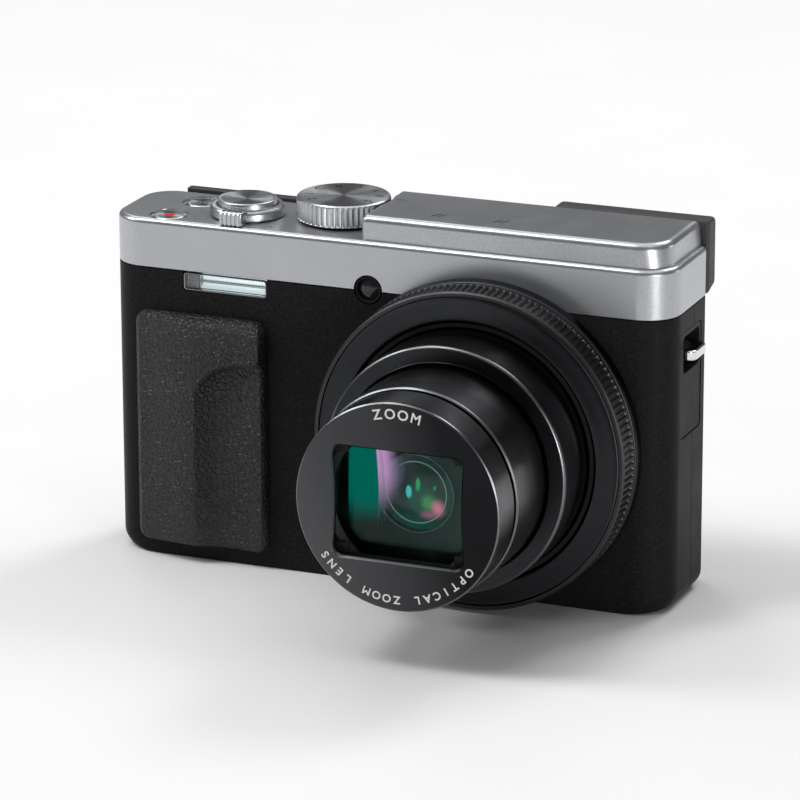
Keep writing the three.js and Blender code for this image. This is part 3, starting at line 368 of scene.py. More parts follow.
def painted(name, colour, metallic, roughness, fleck, fleck_share, bump_depth, level=0.5):
    """Paint with a fine fleck and faint orange peel."""
    n = Nodes(name)
    return n.surface(
        base_color=n.mottle(colour, fleck_share, n.noise(fleck, 1.0), 0.32, 0.68), metallic=metallic,
        roughness=n.spread(n.noise(9.0, 3.0), roughness - 0.03, roughness + 0.03),
        normal=n.bump(n.noise(0.5, 2.0), bump_depth), specular_ior_level=level,
    )


def moulded(name, colour, roughness, grain=0.22, depth=0.012, level=0.4):
    """Moulded plastic with a fine spark-eroded texture."""
    n = Nodes(name)
    texture = n.noise(grain, 3.0, 0.6)
    return n.surface(
        base_color=n.mottle(colour, 0.18, texture), normal=n.bump(texture, depth), specular_ior_level=level,
        roughness=n.spread(n.noise(6.0, 2.0), roughness - 0.04, roughness + 0.04),
    )


def spun(name, colour, roughness, axis, anisotropy=0.7, groove=0.16, share=0.12, depth=0.004):
    """Metal turned on a lathe, with fine rings about an axis through the piece's middle."""
    n = Nodes(name)
    rings = n.noise(groove, 2.0, 0.6, {"Y": (1, 0.02, 1), "Z": (1, 1, 0.02)}[axis])
    return n.surface(
        base_color=n.mottle(colour, share, rings), metallic=1.0, normal=n.bump(rings, depth),
        roughness=n.spread(n.noise(5.0, 2.0), roughness - 0.03, roughness + 0.03),
        anisotropic=anisotropy, tangent=n.lathe_marks(axis),
    )


def metal(name, colour, roughness, brush=(1, 1, 1)):
    """Brushed or cast metal. brush stretches its streaks."""
    n = Nodes(name)
    streak = n.noise(0.3, 3.0, 0.6, brush)
    return n.surface(
        base_color=n.mottle(colour, 0.1, streak), metallic=1.0, normal=n.bump(streak, 0.003),
        roughness=n.spread(streak, roughness * 0.8, roughness * 1.25),
    )


def clear(name, tint):
    """Glass: clear through, with a sheen that grows towards grazing light."""
    n = Nodes(name)
    smear = n.spread(n.noise(4.0, 2.0), 0.015, 0.05)
    through = n.add("ShaderNodeBsdfTransparent", {"Color": tint}).outputs[0]
    gloss = n.add("ShaderNodeBsdfGlossy", {"Color": rgb(1.0), "Roughness": smear}).outputs[0]
    edge = n.add("ShaderNodeFresnel", {"IOR": 1.5}).outputs[0]
    return n.show(n.mix(edge, through, gloss))


def plain(name, colour, roughness=0.5, metallic=0.0, share=0.08, grain=0.8, level=0.5):
    """A print, screen or board colour with a slight unevenness."""
    n = Nodes(name)
    patches = n.noise(grain, 3.0)
    return n.surface(
        base_color=n.mottle(colour, share, patches), metallic=metallic, specular_ior_level=level,
        roughness=n.spread(patches, roughness - 0.02, roughness + 0.02),
    )


SILVER = (painted(
    "silver_paint", rgb(0.45, 0.46, 0.48), metallic=0.85, roughness=0.31, fleck=0.2, fleck_share=0.12,
    bump_depth=0.008,
), "silver_paint")
BLACK = (painted(
    "black_paint", rgb(0.0125, 0.0125, 0.013), metallic=0.0, roughness=0.38, fleck=0.3, fleck_share=0.35,
    bump_depth=0.01, level=0.04,
), "black_paint")
PLASTIC = (moulded("black_plastic", rgb(0.012, 0.012, 0.0125), 0.46, level=0.07), "black_plastic")
GREY = (moulded("grey_plastic", rgb(0.036, 0.036, 0.038), 0.55, grain=0.3, depth=0.02), "grey_plastic")
BORE = (moulded("bore_black", rgb(0.006, 0.006, 0.0065), 0.6, 0.5, 0.01, 0.25), "black_plastic")
BARREL = (spun(
    "barrel_black", rgb(0.1, 0.101, 0.106), 0.23, "Y", anisotropy=0.15, groove=0.3, share=0.04, depth=0.001,
), "barrel_black")
RING = (spun(
    "ring_black", rgb(0.055, 0.056, 0.058), 0.44, "Y", anisotropy=0.0, groove=0.4, share=0.1, depth=0.003,
), "barrel_black")
FACE = (spun("barrel_face", rgb(0.034, 0.035, 0.038), 0.33, "Y", 0.75), "barrel_black")
# Lighter copies of the barrel metal: painted highlights for thin rims and chamfers
BRIGHT_RIM_HIGHLIGHT = (spun("bright_rim_highlight", rgb(0.55, 0.56, 0.58), 0.3, "Y", 0.2), "barrel_black")
RIM_HIGHLIGHT = (spun("barrel_rim_highlight", rgb(0.13, 0.135, 0.14), 0.3, "Y", 0.4), "barrel_black")
DIAL_TOP = (spun("dial_top", rgb(0.5, 0.51, 0.53), 0.3, "Z", 0.8), "dial_aluminium")
DIAL_SIDE = (metal("dial_side", rgb(0.5, 0.51, 0.53), 0.32), "dial_aluminium")
CHROME = (metal("chrome", rgb(0.72, 0.73, 0.75), 0.12), "chrome")
STEEL = (metal("brushed_steel", rgb(0.42, 0.43, 0.45), 0.32, (1, 8, 8)), "steel")
BRASS = (metal("brass", rgb(0.5, 0.37, 0.17), 0.35, (8, 8, 1)), "brass")
BOARD = (plain("board", rgb(0.02, 0.1, 0.045), 0.45, 0, 0.3, 2.5), "board")
DARK_GLASS = (plain("dark_glass", rgb(0.006, 0.006, 0.008), 0.06, 0, 0.2, 5.0), "dark_glass")
BATTERY = (plain("battery_shell", rgb(0.03, 0.03, 0.034), 0.45, 0, 0.2, 1.2), "battery_shell")
CARD = (plain("card_shell", rgb(0.02, 0.05, 0.14), 0.4, 0, 0.2, 1.5), "card_shell")
WHITE_INK = (plain("white_ink", rgb(0.62, 0.62, 0.6), 0.55), "black_paint")
DARK_INK = (plain("dark_ink", rgb(0.03, 0.03, 0.032), 0.5), "silver_paint")
RED_INK = (plain("red_ink", rgb(0.55, 0.012, 0.01), 0.4), "dial_aluminium")


def ahead(station):
    """The y of a place measured forward from the front face."""
    return FRONT - station


def axes(n, centre=(0, 0)):
    """Sideways and upward distance from a centre, in millimetres."""
    where = n.add("ShaderNodeTexCoord").outputs["Object"]
    parts = n.add("ShaderNodeSeparateXYZ", {"Vector": where}).outputs
    pairs = zip((parts["X"], parts["Z"]), centre)
    return [n.maths("SUBTRACT", n.maths("DIVIDE", part, MM), middle) for part, middle in pairs]


def turned_face():
    """Black turned face of the cap: fine rings, with a painted sheen in its colour that fades to the upper
    right.
    """
    n = Nodes("cap_face")
    across, up = axes(n, LENS)
    slope = n.maths("ADD", n.times(across, -0.93), n.times(up, -0.2))
    # painted sheen: the colour is lighter towards the left and darker towards the upper right
    painted_sheen = n.spread(slope, 0.0, 1.0, -10.0, 17.0)
    rings = n.noise(0.16, 2.0, 0.6, (1, 0.02, 1))
    tone = n.blend(painted_sheen, rgb(0.016, 0.0165, 0.018), rgb(0.1, 0.102, 0.106))
    return n.surface(
        base_color=n.blend(n.times(rings, 0.3), tone, rgb(0.01)), metallic=1.0, anisotropic=0.75,
        roughness=n.spread(rings, 0.3, 0.36), tangent=n.lathe_marks("Y"), normal=n.bump(rings, 0.004),
    )


CAP_FACE = (turned_face(), "barrel_black")


# ---- Top cover ----
DIAL = span("mode_dial")
DIAL_X, DIAL_Y, _ = centre_of("mode_dial")
DIAL_R = radius_of("mode_dial")
SHUTTER_X, SHUTTER_Y, _ = centre_of("shutter_button")
SHUTTER_R = radius_of("shutter_button")
BUTTON_R = radius_of("movie_button")
DISH_R = BUTTON_R + 0.8
WELL_R = DIAL_R + 0.6
HUB_R = 5.2
BARREL_HOLE_R = radius_of("fixed_barrel") - 1.9
LAMP = centre_of("focus_lamp_lens")
LAMP_R = 2.6
FLASH = span("flash_window")
HUMP_LEFT = DIAL_X + 7.95
HUMP_SLOPE = 0.4


def plan(inset=0.0):
    """The body from above."""
    radii = [max(r - inset, 0.1) for r in CORNERS]
    return outline(-HALF + inset, HALF - inset, FRONT + inset, REAR - inset, radii, FRAME_STEPS)


def hump_plan(inset, slope):
    right = HALF - HUMP_INSET - inset - slope
    radii = [1.2, FRONT_CORNER - 0.9 + slope, 0.3, 0.3]
    radii = [max(r - inset, 0.1) for r in radii]
    return outline(HUMP_LEFT + inset, right, FRONT + HUMP_INSET + inset, REAR - inset, radii, FRAME_STEPS)


def top_cover():
    edge = 1.0
    levels = [(SEAM, 0.12), (SEAM + 0.12, 0.0)] + rounding(DECK, edge, 6)
    deck = loft("deck", [at_z(plan(inset), z) for z, inset in levels])
    crown = 1.25
    rings = [at_z(hump_plan(0, 0), z) for z in (DECK - 1.5, DECK + 0.3)]
    for z, inset in rounding(HUMP, crown, 6):
        slope = HUMP_SLOPE * max(z - DECK, 0) / (HUMP - DECK)
        rings.append(at_z(hump_plan(inset, slope), z))
    boolean(deck, loft("hump", rings), "UNION")
    hollow = loft("hollow", [at_z(plan(WALL), SEAM - 1), at_z(plan(WALL), DECK - WALL)])
    tools = [rod("well", "z", (DIAL_X, DIAL_Y), WELL_R, DECK, 90, 96), hollow]
    tools.append(rod("lens_hole", "y", LENS, BARREL_HOLE_R, -40, 0, 96))
    tools.append(rod("lamp_hole", "y", (LAMP[0], LAMP[2]), LAMP_R + GAP, -40, 0, 48))
    tools.append(rod("hub_hole", "z", (SHUTTER_X, SHUTTER_Y), HUB_R, 60, 90))
    tools.append(rod("shaft_hole", "z", (DIAL_X, DIAL_Y), 2.5, 60, 90))
    for node in ("movie_button", "power_button"):
        x, y, _ = centre_of(node)
        tools.append(rod("dish", "z", (x, y), DISH_R, DECK - 0.6, 90, 48))
        tools.append(rod("hole", "z", (x, y), BUTTON_R + 0.3, 60, 90))
    eye = span("eyepiece_frame")
    tools.append(block("eye_hole", eye[0] - 1, eye[1] + 1, 0, 40, eye[4] + 1, HUMP - 1.9))
    x, _, z = centre_of("finder_button")
    tools.append(rod("button_hole", "y", (x, z), 2.5, 0, 40, 32))
    boolean(deck, tools)
    for middle in (LENS_X - 11.5, LENS_X + 0.3):
        for x in (middle - 0.6, middle + 0.6):
            slot = plate("microphone", (-0.2, 0.2, -1.3, 1.3), 0.18, "z", HUMP - 1.2, HUMP + 1)
            boolean(deck, turn_and_move(slot, -0.45, "Z", x, -3.6, 0))
    soften(deck, 0.12, 2, 50)
    dress(deck, "top_shell", SILVER, "camera_body", ["top_cover"], 30)


top_cover()


# ---- Front and rear covers ----
FAR = 99  # further than any piece reaches


def body_rings(inset, low, high, foot=0.5):
    """The lower body from low to high, with its lower corners and foot edge rounded."""
    r = BOTTOM_CORNER - inset
    rings = []
    levels = [low + foot * (1 - math.cos(math.pi / 2 * k / 4)) for k in range(5)]
    levels += [low + r * (1 - math.cos(math.pi / 2 * k / 10)) for k in range(4, 11)]
    for z in sorted(set(levels)) + [high]:
        d = min(z - low, r)
        side = r - math.sqrt(max(r * r - (r - d) ** 2, 0))
        e = min(z - low, foot)
        foot_inset = foot - math.sqrt(max(foot * foot - (foot - e) ** 2, 0))
        radii = [max(c - inset - 0.6 * foot_inset, 0.1) for c in CORNERS]
        x = HALF - inset - max(side, foot_inset)
        y0, y1 = FRONT + inset + foot_inset, REAR - inset - foot_inset
        rings.append(at_z(outline(-x, x, y0, y1, radii, FRAME_STEPS), z))
    return rings


def side_cutter(side, low):
    plate_box = span("side_plate_right")
    y0, y1, top = plate_box[2] - GAP, plate_box[3] + GAP, plate_box[5] + GAP
    x0 = HALF - 5 if side > 0 else -HALF - 5
    return plate("side_opening", (y0, y1, low - GAP, top), 1.2, "x", x0, x0 + 10)


def shared_cuts():
    """The openings that pass through both covers."""
    x0, x1, y0, y1, _, _ = grown("battery_door", 0.3)
    bush_x, bush_y, _ = centre_of("tripod_bush")
    bush_r = radius_of("tripod_bush") + GAP
    return [
        block("door_hole", x0, x1, y0, y1, -5, WALL + GAP),
        side_cutter(1, span("side_plate_right")[4]),
        side_cutter(-1, span("side_plate_left")[4]),
        rod("bush_hole", "z", (bush_x, bush_y), bush_r, -5, WALL + 1, 64),
    ]


def inner_rings():
    return body_rings(WALL, WALL, 70, 0.3)


def front_cover():
    shell = loft("front", body_rings(0, 0, SEAM - GAP))
    boolean(shell, loft("inner", inner_rings()))
    tools = [block("behind", -FAR, FAR, SPLIT, FAR, -9, FAR), *shared_cuts()]
    tools.append(rod("lens_hole", "y", LENS, BARREL_HOLE_R, -40, 0, 96))
    tools.append(rod("lamp_hole", "y", (LAMP[0], LAMP[2]), LAMP_R + GAP, -40, 0, 48))
    notch = (FLASH[0] - GAP, FLASH[1] + GAP, FLASH[4] - GAP, SEAM + 5)
    tools.append(plate("flash_notch", notch, 0.65, "y", -20, FRONT + WALL + 0.5))
    _, _, y0, _, z0, z1 = grown("terminal_door", 0.3)
    tools.append(block("socket", -FAR, -HALF + 1.9, y0, SPLIT + 1, z0, z1))
    for node in ("bottom_screw_1", "bottom_screw_2"):
        x, y, _ = centre_of(node)
        tools.append(rod("screw_head", "z", (x, y), 1.65, -1, 1.1, 32))
        tools.append(rod("screw_shank", "z", (x, y), 0.95, -1, 3, 24))
    boolean(shell, tools)
    soften(shell, 0.1, 2, 50)
    dress(shell, "front_shell", BLACK, "camera_body", ["front_cover"], 30)


def rear_cover():
    shell = loft("rear", body_rings(0, 0, SEAM - GAP))
    inner = loft("inner", inner_rings())
    boolean(inner, block("floor", -FAR, FAR, 7.8, FAR, -9, FAR))
    boolean(shell, inner)
    tools = [block("ahead", -FAR, FAR, -FAR, SPLIT + GAP, -9, FAR), *shared_cuts()]
    x0, x1, _, _, z0, z1 = grown("screen_frame", 0.3)
    tools.append(block("recess", x0, x1, REAR - 1.6, FAR, z0, z1))
    for node in ("playback_button", "display_button", "delete_button", "set_button"):
        x, _, z = centre_of(node)
        tools.append(rod("hole", "y", (x, z), radius_of(node) + 0.3, 0, 40, 40))
    boolean(shell, tools)
    soften(shell, 0.1, 2, 50)
    dress(shell, "rear_shell", PLASTIC, "camera_body", ["rear_cover"], 30)


front_cover()
rear_cover()


# ---- Lens ----
RIBS = 150
RIB_DEPTH = 0.42


def stations(node):
    """The front and rear stations of a lens piece."""
    _, _, y0, y1, _, _ = span(node)
    return FRONT - y0, FRONT - y1


def turned(name, profile, steps=128, closed=True, shape=None):
    """Turns a profile of (radius, station) about the lens axis."""
    placed_profile = [(radius, ahead(station)) for radius, station in profile]
    return lathe(name, placed_profile, LENS, "y", steps, closed, shape)


def turned_piece(name, node, profile, look, body, steps=192, shape=None, angle=28):
    return dress(turned(name, profile, steps, True, shape), name, look, body, [node], angle)


def paint_faces(obj, looks, choose):
    """Adds looks after the first, and gives each face the one that choose(place, normal) numbers."""
    for look in looks:
        obj.data.materials.append(look[0])
    for polygon in obj.data.polygons:
        polygon.material_index = choose(polygon.center / MM, polygon.normal)


def off_axis(place):
    """How far a place lies from the lens axis."""
    return math.hypot(place.x - LENS_X, place.z - LENS_Z)


def rounded_profile(points, radius):
    """Rounds each corner of a closed profile."""
    steps = 3
    result = []
    count = len(points)
    for i, here in enumerate(points):
        here = Vector(here)
        back = Vector(points[i - 1]) - here
        on = Vector(points[(i + 1) % count]) - here
        r = min(radius, back.length * 0.45, on.length * 0.45)
        start = here + back.normalized() * r
        end = here + on.normalized() * r
        for k in range(steps + 1):
            t = k / steps
            result.append(tuple(start * (1 - t) ** 2 + here * 2 * t * (1 - t) + end * t * t))
    return result


BARREL_R = radius_of("outer_barrel")
INNER_R = radius_of("inner_barrel")
CAP_R = radius_of("front_cap")
RING_R = radius_of("control_ring")
FLANGE_R = radius_of("lens_base")
TRIM_R = radius_of("front_trim_ring")
CAP_FRONT, CAP_REAR = stations("front_cap")
BARREL_FRONT, BARREL_REAR = stations("outer_barrel")
INNER_FRONT, INNER_REAR = stations("inner_barrel")
RING_FRONT, RING_REAR = stations("control_ring")
TRIM_FRONT, TRIM_REAR = stations("front_trim_ring")
FIXED_FRONT, FIXED_REAR = stations("fixed_barrel")
FLANGE_FRONT, _ = stations("lens_base")
TRIM_INNER = 24.15
SLEEVE_R = 27.2


def flange():
    profile = [
        (TRIM_INNER, GAP), (FLANGE_R - 0.6, GAP), (FLANGE_R, 1.05), (FLANGE_R, 3.1), (FLANGE_R - 0.35, 3.5),
        (SLEEVE_R, 3.5), (SLEEVE_R, FLANGE_FRONT), (TRIM_INNER, FLANGE_FRONT),
    ]
    turned_piece("lens_flange", "lens_base", rounded_profile(profile, 0.2), FACE, "camera_body")


def control_ring():
    rib_low, rib_high = RING_REAR + 0.75, RING_FRONT - 0.65

    def ribbed(radius, place, angle):
        station = FRONT - place
        if radius < TRIM_R + 0.3 or not rib_low <= station <= rib_high:
            return radius
        wave = math.cos(RIBS * angle)
        cut = 0.5 - 0.5 * max(-1.0, min(1.0, wave * 2.2))
        edge = min(station - rib_low, rib_high - station) / 0.25
        return radius - RIB_DEPTH * cut * min(edge, 1.0)

    front_r = RING_R - 0.3
    lip = TRIM_REAR - 0.3
    ring = [
        (SLEEVE_R + 0.3, RING_REAR), (RING_R - 0.25, RING_REAR), (RING_R - 0.05, RING_REAR + 0.2),
        (RING_R - 0.05, rib_low), (RING_R - 0.05, rib_low + 0.25),
        (front_r + 0.05, rib_high - 0.25), (front_r, rib_high), (front_r, RING_FRONT - 0.25),
        (front_r - 0.25, RING_FRONT), (TRIM_R + 0.2, RING_FRONT), (TRIM_R + 0.2, lip), (SLEEVE_R + 0.3, lip),
    ]
    steps = RIBS * 8
    turned_piece("control_ring_knurled", "control_ring", ring, RING, "control_ring", steps, ribbed, 24)


def trim_ring():
    """A dished face with fine steps."""
    face = [(TRIM_INNER, TRIM_REAR), (TRIM_R, TRIM_REAR), (TRIM_R, RING_FRONT - 0.1)]
    face += [(TRIM_R - 0.2, RING_FRONT + 0.02)]
    face += [(TRIM_R - 0.5 - k * 0.8, TRIM_FRONT - 0.32 + 0.06 * k) for k in range(5)]
    face += [(TRIM_INNER + 0.25, TRIM_FRONT), (TRIM_INNER, TRIM_FRONT - 0.25)]
    turned_piece("trim_ring", "front_trim_ring", face, FACE, "camera_body")


def barrels():
    bore = BARREL_R + 0.3
    fixed = [
        (bore, FIXED_REAR), (bore + 0.8, FIXED_REAR), (bore + 0.8, -2.55), (bore + 3.0, -2.55),
        (bore + 3.0, -1.55), (bore + 0.8, -1.55), (bore + 0.8, FIXED_FRONT), (bore, FIXED_FRONT),
    ]
    turned_piece("fixed_tube", "fixed_barrel", rounded_profile(fixed, 0.1), BORE, "camera_body")

    lip_r = INNER_R + 0.4
    outer = [
        (lip_r, BARREL_FRONT - 0.12), (lip_r + 0.2, BARREL_FRONT), (BARREL_R - 0.42, BARREL_FRONT),
        (BARREL_R - 0.36, BARREL_FRONT - 0.02), (BARREL_R - 0.1, BARREL_FRONT - 0.26),
        (BARREL_R - 0.04, BARREL_FRONT - 0.34), (BARREL_R, BARREL_FRONT - 0.6), (BARREL_R, BARREL_REAR),
        (BARREL_R - 1.1, BARREL_REAR), (BARREL_R - 1.1, BARREL_FRONT - 1.5), (lip_r, BARREL_FRONT - 1.5),
    ]
    barrel_with_rim_highlight("outer_tube", "outer_barrel", outer, "outer_barrel", BARREL_FRONT, BARREL_R, 0.42)

    neck_r = CAP_R - 0.97
    bore = neck_r - 1.1
    shoulder = INNER_FRONT - 2.0
    inner = [
        (bore, INNER_REAR), (INNER_R, INNER_REAR), (INNER_R, shoulder - 0.42),
        (INNER_R - 0.06, shoulder - 0.22), (INNER_R - 0.3, shoulder),
        (neck_r, shoulder), (neck_r, INNER_FRONT), (bore, INNER_FRONT),
    ]
    barrel_with_rim_highlight("inner_tube", "inner_barrel", inner, "inner_barrel", shoulder, INNER_R, 0.3)


def barrel_with_rim_highlight(name, node, profile, body, front, radius, rim):
    """A barrel whose thin front rim gets a lighter copy of its metal as a painted highlight."""
    # the rim's chamfer faces take the painted highlight, and forward faces take the turned face
    def choose(place, normal):
        forward = -normal.y
        outermost = FRONT - place.y > front - 0.45 and off_axis(place) > radius - rim - 0.1
        if outermost and 0.25 < forward < 0.97:
            return 1
        return 2 if forward > 0.9 else 0

    paint_faces(turned_piece(name, node, profile, BARREL, body, angle=30), (RIM_HIGHLIGHT, FACE), choose)


def dense_outline(points):
    """The same closed outline with points no further apart than a gap."""
    gap = 0.8
    result = []
    for i, here in enumerate(points):
        on = points[(i + 1) % len(points)]
        steps = max(1, math.ceil(math.dist(here, on) / gap))
        for k in range(steps):
            result.append(tuple(p + (q - p) * k / steps for p, q in zip(here, on)))
    return result


def front_cap():
    bore = CAP_R - 0.67
    cap = [
        (0.05, CAP_FRONT - 0.05), (CAP_R - 3.0, CAP_FRONT - 0.04), (CAP_R - 0.55, CAP_FRONT - 0.02),
        (CAP_R - 0.3, CAP_FRONT - 0.03), (CAP_R - 0.08, CAP_FRONT - 0.22), (CAP_R, CAP_FRONT - 0.5),
        (CAP_R, CAP_REAR + 0.3), (CAP_R - 0.25, CAP_REAR), (bore, CAP_REAR), (bore, CAP_FRONT - 1.0),
        (0.05, CAP_FRONT - 1.0),
    ]
    obj = turned("cap", cap, 192, False)
    half_w, half_h, pinch = 12.2, 9.9, 0.55
    base = dense_outline(outline(-half_w, half_w, -half_h, half_h, 2.0, 8))

    def ring(grow, station):
        result = []
        for a, b in base:
            share = 1 - min(abs(b) / half_h, 1) ** 2
            side = max(abs(a) - half_w * 0.6, 0) / (half_w * 0.4)
            ka, kb = (half_w + grow) / half_w, (half_h + grow) / half_h
            x = LENS_X + a * ka - math.copysign(pinch * share * side, a)
            result.append((x, ahead(station), LENS_Z + b * kb))
        return result

    tool = loft("window", [
        ring(0.55, CAP_FRONT + 0.5), ring(0.42, CAP_FRONT), ring(0.08, CAP_FRONT - 0.4),
        ring(0.0, CAP_FRONT - 0.55), ring(0.0, CAP_FRONT - 3.0),
    ])
    boolean(obj, tool)
    dress(obj, "cap_shell", CAP_FACE, "inner_barrel", ["front_cap"], 24)

    # the cap's side keeps the barrel look, and its front chamfer takes the painted rim highlight
    def choose(place, normal):
        r = off_axis(place)
        if abs(normal.y) < 0.3 and r > CAP_R - 0.3:
            return 1
        return 2 if 0.3 < -normal.y < 0.97 and r > CAP_R - 0.6 else 0

    paint_faces(obj, (BARREL, RIM_HIGHLIGHT), choose)


flange()
control_ring()
trim_ring()
barrels()
front_cap()


def glyph(character, size):
    """Raised print of one generic letter or number, flat about the origin."""
    curve = bpy.data.curves.new("glyph", "FONT")
    curve.body = character
    curve.size = size * MM
    curve.extrude = 0.006 * MM
    curve.offset = 0.045 * MM
    curve.align_x = "CENTER"
    curve.align_y = "CENTER"
    holder = placed("glyph", curve)
    graph = bpy.context.evaluated_depsgraph_get()
    mesh = bpy.data.meshes.new_from_object(holder.evaluated_get(graph))
    bpy.data.objects.remove(holder)
    return placed("glyph", mesh)


def cap_prints():
    """Generic white wording round the cap, standing upright on its face."""
    prints = []
    r = CAP_R - 2.2
    y = span("front_cap")[2] + 0.012
    upright = Matrix.Rotation(math.pi / 2, 4, "X")
    for words, middle, spacing, size in (("ZOOM", 90.0, 8.2, 2.5), ("OPTICAL ZOOM LENS", 270.0, 6.6, 2.0)):
        for k, letter in enumerate(words):
            if letter == " ":
                continue
            angle = math.radians(middle - (k - (len(words) - 1) / 2) * spacing)
            sign = glyph(letter, size)
            sign.data.transform(upright)
            x, z = LENS_X + r * math.cos(angle), LENS_Z + r * math.sin(angle)
            prints.append(turn_and_move(sign, math.pi / 2 - angle, "Y", x, y, z))
    dress(merge("cap_prints", prints), "cap_prints", WHITE_INK, "inner_barrel", (), 30)


cap_prints()


ELEMENT_REAR = 31.0
SECOND_R = 6.95
SECOND_FRONT = 33.6


def lens_inside():
    baffle_front, baffle_rear = stations("lens_baffle")
    glass_r = radius_of("front_element")
    bore = CAP_R - 0.67 - GAP
    baffle = [
        (glass_r + GAP, baffle_rear), (bore, baffle_rear), (bore, baffle_front),
        (glass_r + 1.2, baffle_front), (glass_r + GAP, baffle_front - 0.9),
    ]
    turned_piece("baffle_ring", "lens_baffle", rounded_profile(baffle, 0.12), BORE, "inner_barrel", 128)
    front, _ = stations("front_element")
    thickness, bulge = 3.4, 0.9
    back = [(glass_r, front - thickness + bulge)]
    for share in (k / 12 for k in range(11, 0, -1)):
        back.append((glass_r * share, front - thickness + 0.4 * bulge + 0.5 * share * share))
    dome("front_glass", glass_r, front, bulge, back, FRONT_REFLECTIONS, ["front_element"])
    cone = [
        (10.9, ELEMENT_REAR + 4.6), (SECOND_R + 0.5, SECOND_FRONT), (SECOND_R + 0.3, SECOND_FRONT - 0.05),
        (SECOND_R + 0.3, ELEMENT_REAR), (16.0, ELEMENT_REAR), (16.0, ELEMENT_REAR + 4.6),
    ]
    dress(turned("cone", cone), "element_cone", CONE, "inner_barrel")
    # the second and the inner rim take painted highlights
    rim = [(SECOND_R, 33.35), (SECOND_R + 0.05, 33.75), (SECOND_R + 0.25, 33.75), (SECOND_R + 0.27, 33.35)]
    dress(turned("rim", rim), "second_rim", RIM_HIGHLIGHT, "inner_barrel")
    back = [(SECOND_R, ELEMENT_REAR), (0.05, ELEMENT_REAR)]
    dome("second_glass", SECOND_R, SECOND_FRONT, 1.1, back, SECOND_REFLECTIONS)
    rim = [(5.45, 33.12), (5.5, 33.22), (5.62, 33.22), (5.66, 33.05)]
    dress(turned("rim", rim), "inner_rim", BRIGHT_RIM_HIGHLIGHT, "inner_barrel")


def dome(name, radius, front, bulge, back, look, nodes=()):
    """A glass with a bulging front. back is the rest of its profile."""
    profile = [(0.05, front)]
    for share in (k / 12 for k in range(1, 13)):
        profile.append((radius * share, front - bulge * share * share))
    dress(turned(name, profile + back, 128, False), name, look, "inner_barrel", nodes, 60)


def band(n, value, low, high, soft):
    """1 where value lies from low to high, with soft edges."""
    rise = n.fade(value, low - soft, low + soft)
    return n.times(rise, n.fade(value, high - soft, high + soft, 1.0, 0.0))


def length(n, a, b):
    return n.maths("SQRT", n.maths("ADD", n.times(a, a), n.times(b, b)))


def spot(n, across, up, centre, size, softness):
    """1 inside an oval, fading out at its edge."""
    a = n.maths("DIVIDE", n.maths("SUBTRACT", across, centre[0]), size[0])
    b = n.maths("DIVIDE", n.maths("SUBTRACT", up, centre[1]), size[1])
    return n.fade(length(n, a, b), 1 - softness, 1.0, 1.0, 0.0)


def front_glass_reflections():
    """Coated glass: a teal and a lilac painted reflection, glowing by emission, on the left of an otherwise
    clear dome.
    """
    n = Nodes("front_glass_reflections")
    across, up = axes(n, LENS)
    bent = n.maths("ADD", across, n.times(n.times(up, up), 0.008))
    # painted reflections: a teal patch, and a lilac strip beside it
    teal_reflection = n.times(band(n, across, -10.4, -4.6, 0.12), band(n, up, -2.0, 30.0, 3.5))
    lilac_reflection_fade = n.times(band(n, up, 1.5, 30.0, 4.5), band(n, bent, -4.6, 9.0, 0.15))
    lilac_reflection = n.times(lilac_reflection_fade, n.spread(bent, 1.0, 0.0, -4.2, -1.8))
    colour = n.blend(band(n, bent, -4.6, 9.0, 0.12), rgb(0.0, 0.115, 0.085), rgb(0.5, 0.28, 0.52))
    amount = n.maths("MAXIMUM", n.times(teal_reflection, 0.93), n.times(lilac_reflection, 0.85))
    through = n.add("ShaderNodeBsdfTransparent", {"Color": rgb(0.84, 0.92, 0.9)}).outputs[0]
    smear = n.spread(n.noise(4.0, 2.0), 0.01, 0.04)
    gloss = n.add("ShaderNodeBsdfGlossy", {"Color": rgb(0.3, 0.42, 0.4), "Roughness": smear}).outputs[0]
    edge = n.add("ShaderNodeFresnel", {"IOR": 1.35}).outputs[0]
    # the painted reflections glow as emission
    painted_reflection = n.add("ShaderNodeEmission", {"Color": colour, "Strength": 1.0}).outputs[0]
    return n.show(n.mix(amount, n.mix(edge, through, gloss), painted_reflection))


def second_glass_reflections():
    """The small inner element: deep green to black, with painted reflections and painted glints of the
    elements behind it, all glowing by emission.
    """
    n = Nodes("second_glass_reflections")
    across, up = axes(n, LENS)
    rim = n.spread(length(n, across, up), 0.0, 1.0, 3.0, 7.0)
    colour = n.blend(rim, rgb(0.001, 0.008, 0.006), rgb(0.002, 0.018, 0.013))
    # painted reflection: greener on the lower part
    lower = band(n, up, -8.0, -4.2, 1.4)
    colour = n.blend(n.times(lower, 0.8), colour, rgb(0.001, 0.05, 0.03))
    # painted reflection: a grey-lilac patch on the upper left
    grey = spot(n, across, up, (-4.5, 3.5), (3.2, 5.0), 0.8)
    colour = n.blend(n.times(grey, 0.5), colour, rgb(0.2, 0.17, 0.26))
    for centre, size, softness, glow, share in PAINTED_GLINTS:
        colour = n.blend(n.times(spot(n, across, up, centre, size, softness), share), colour, glow)
    smear = n.spread(n.noise(4.0, 2.0), 0.03, 0.07)
    # emission makes the painted colours glow
    return n.surface(base_color=colour, roughness=smear, emission_color=colour, emission_strength=0.75)


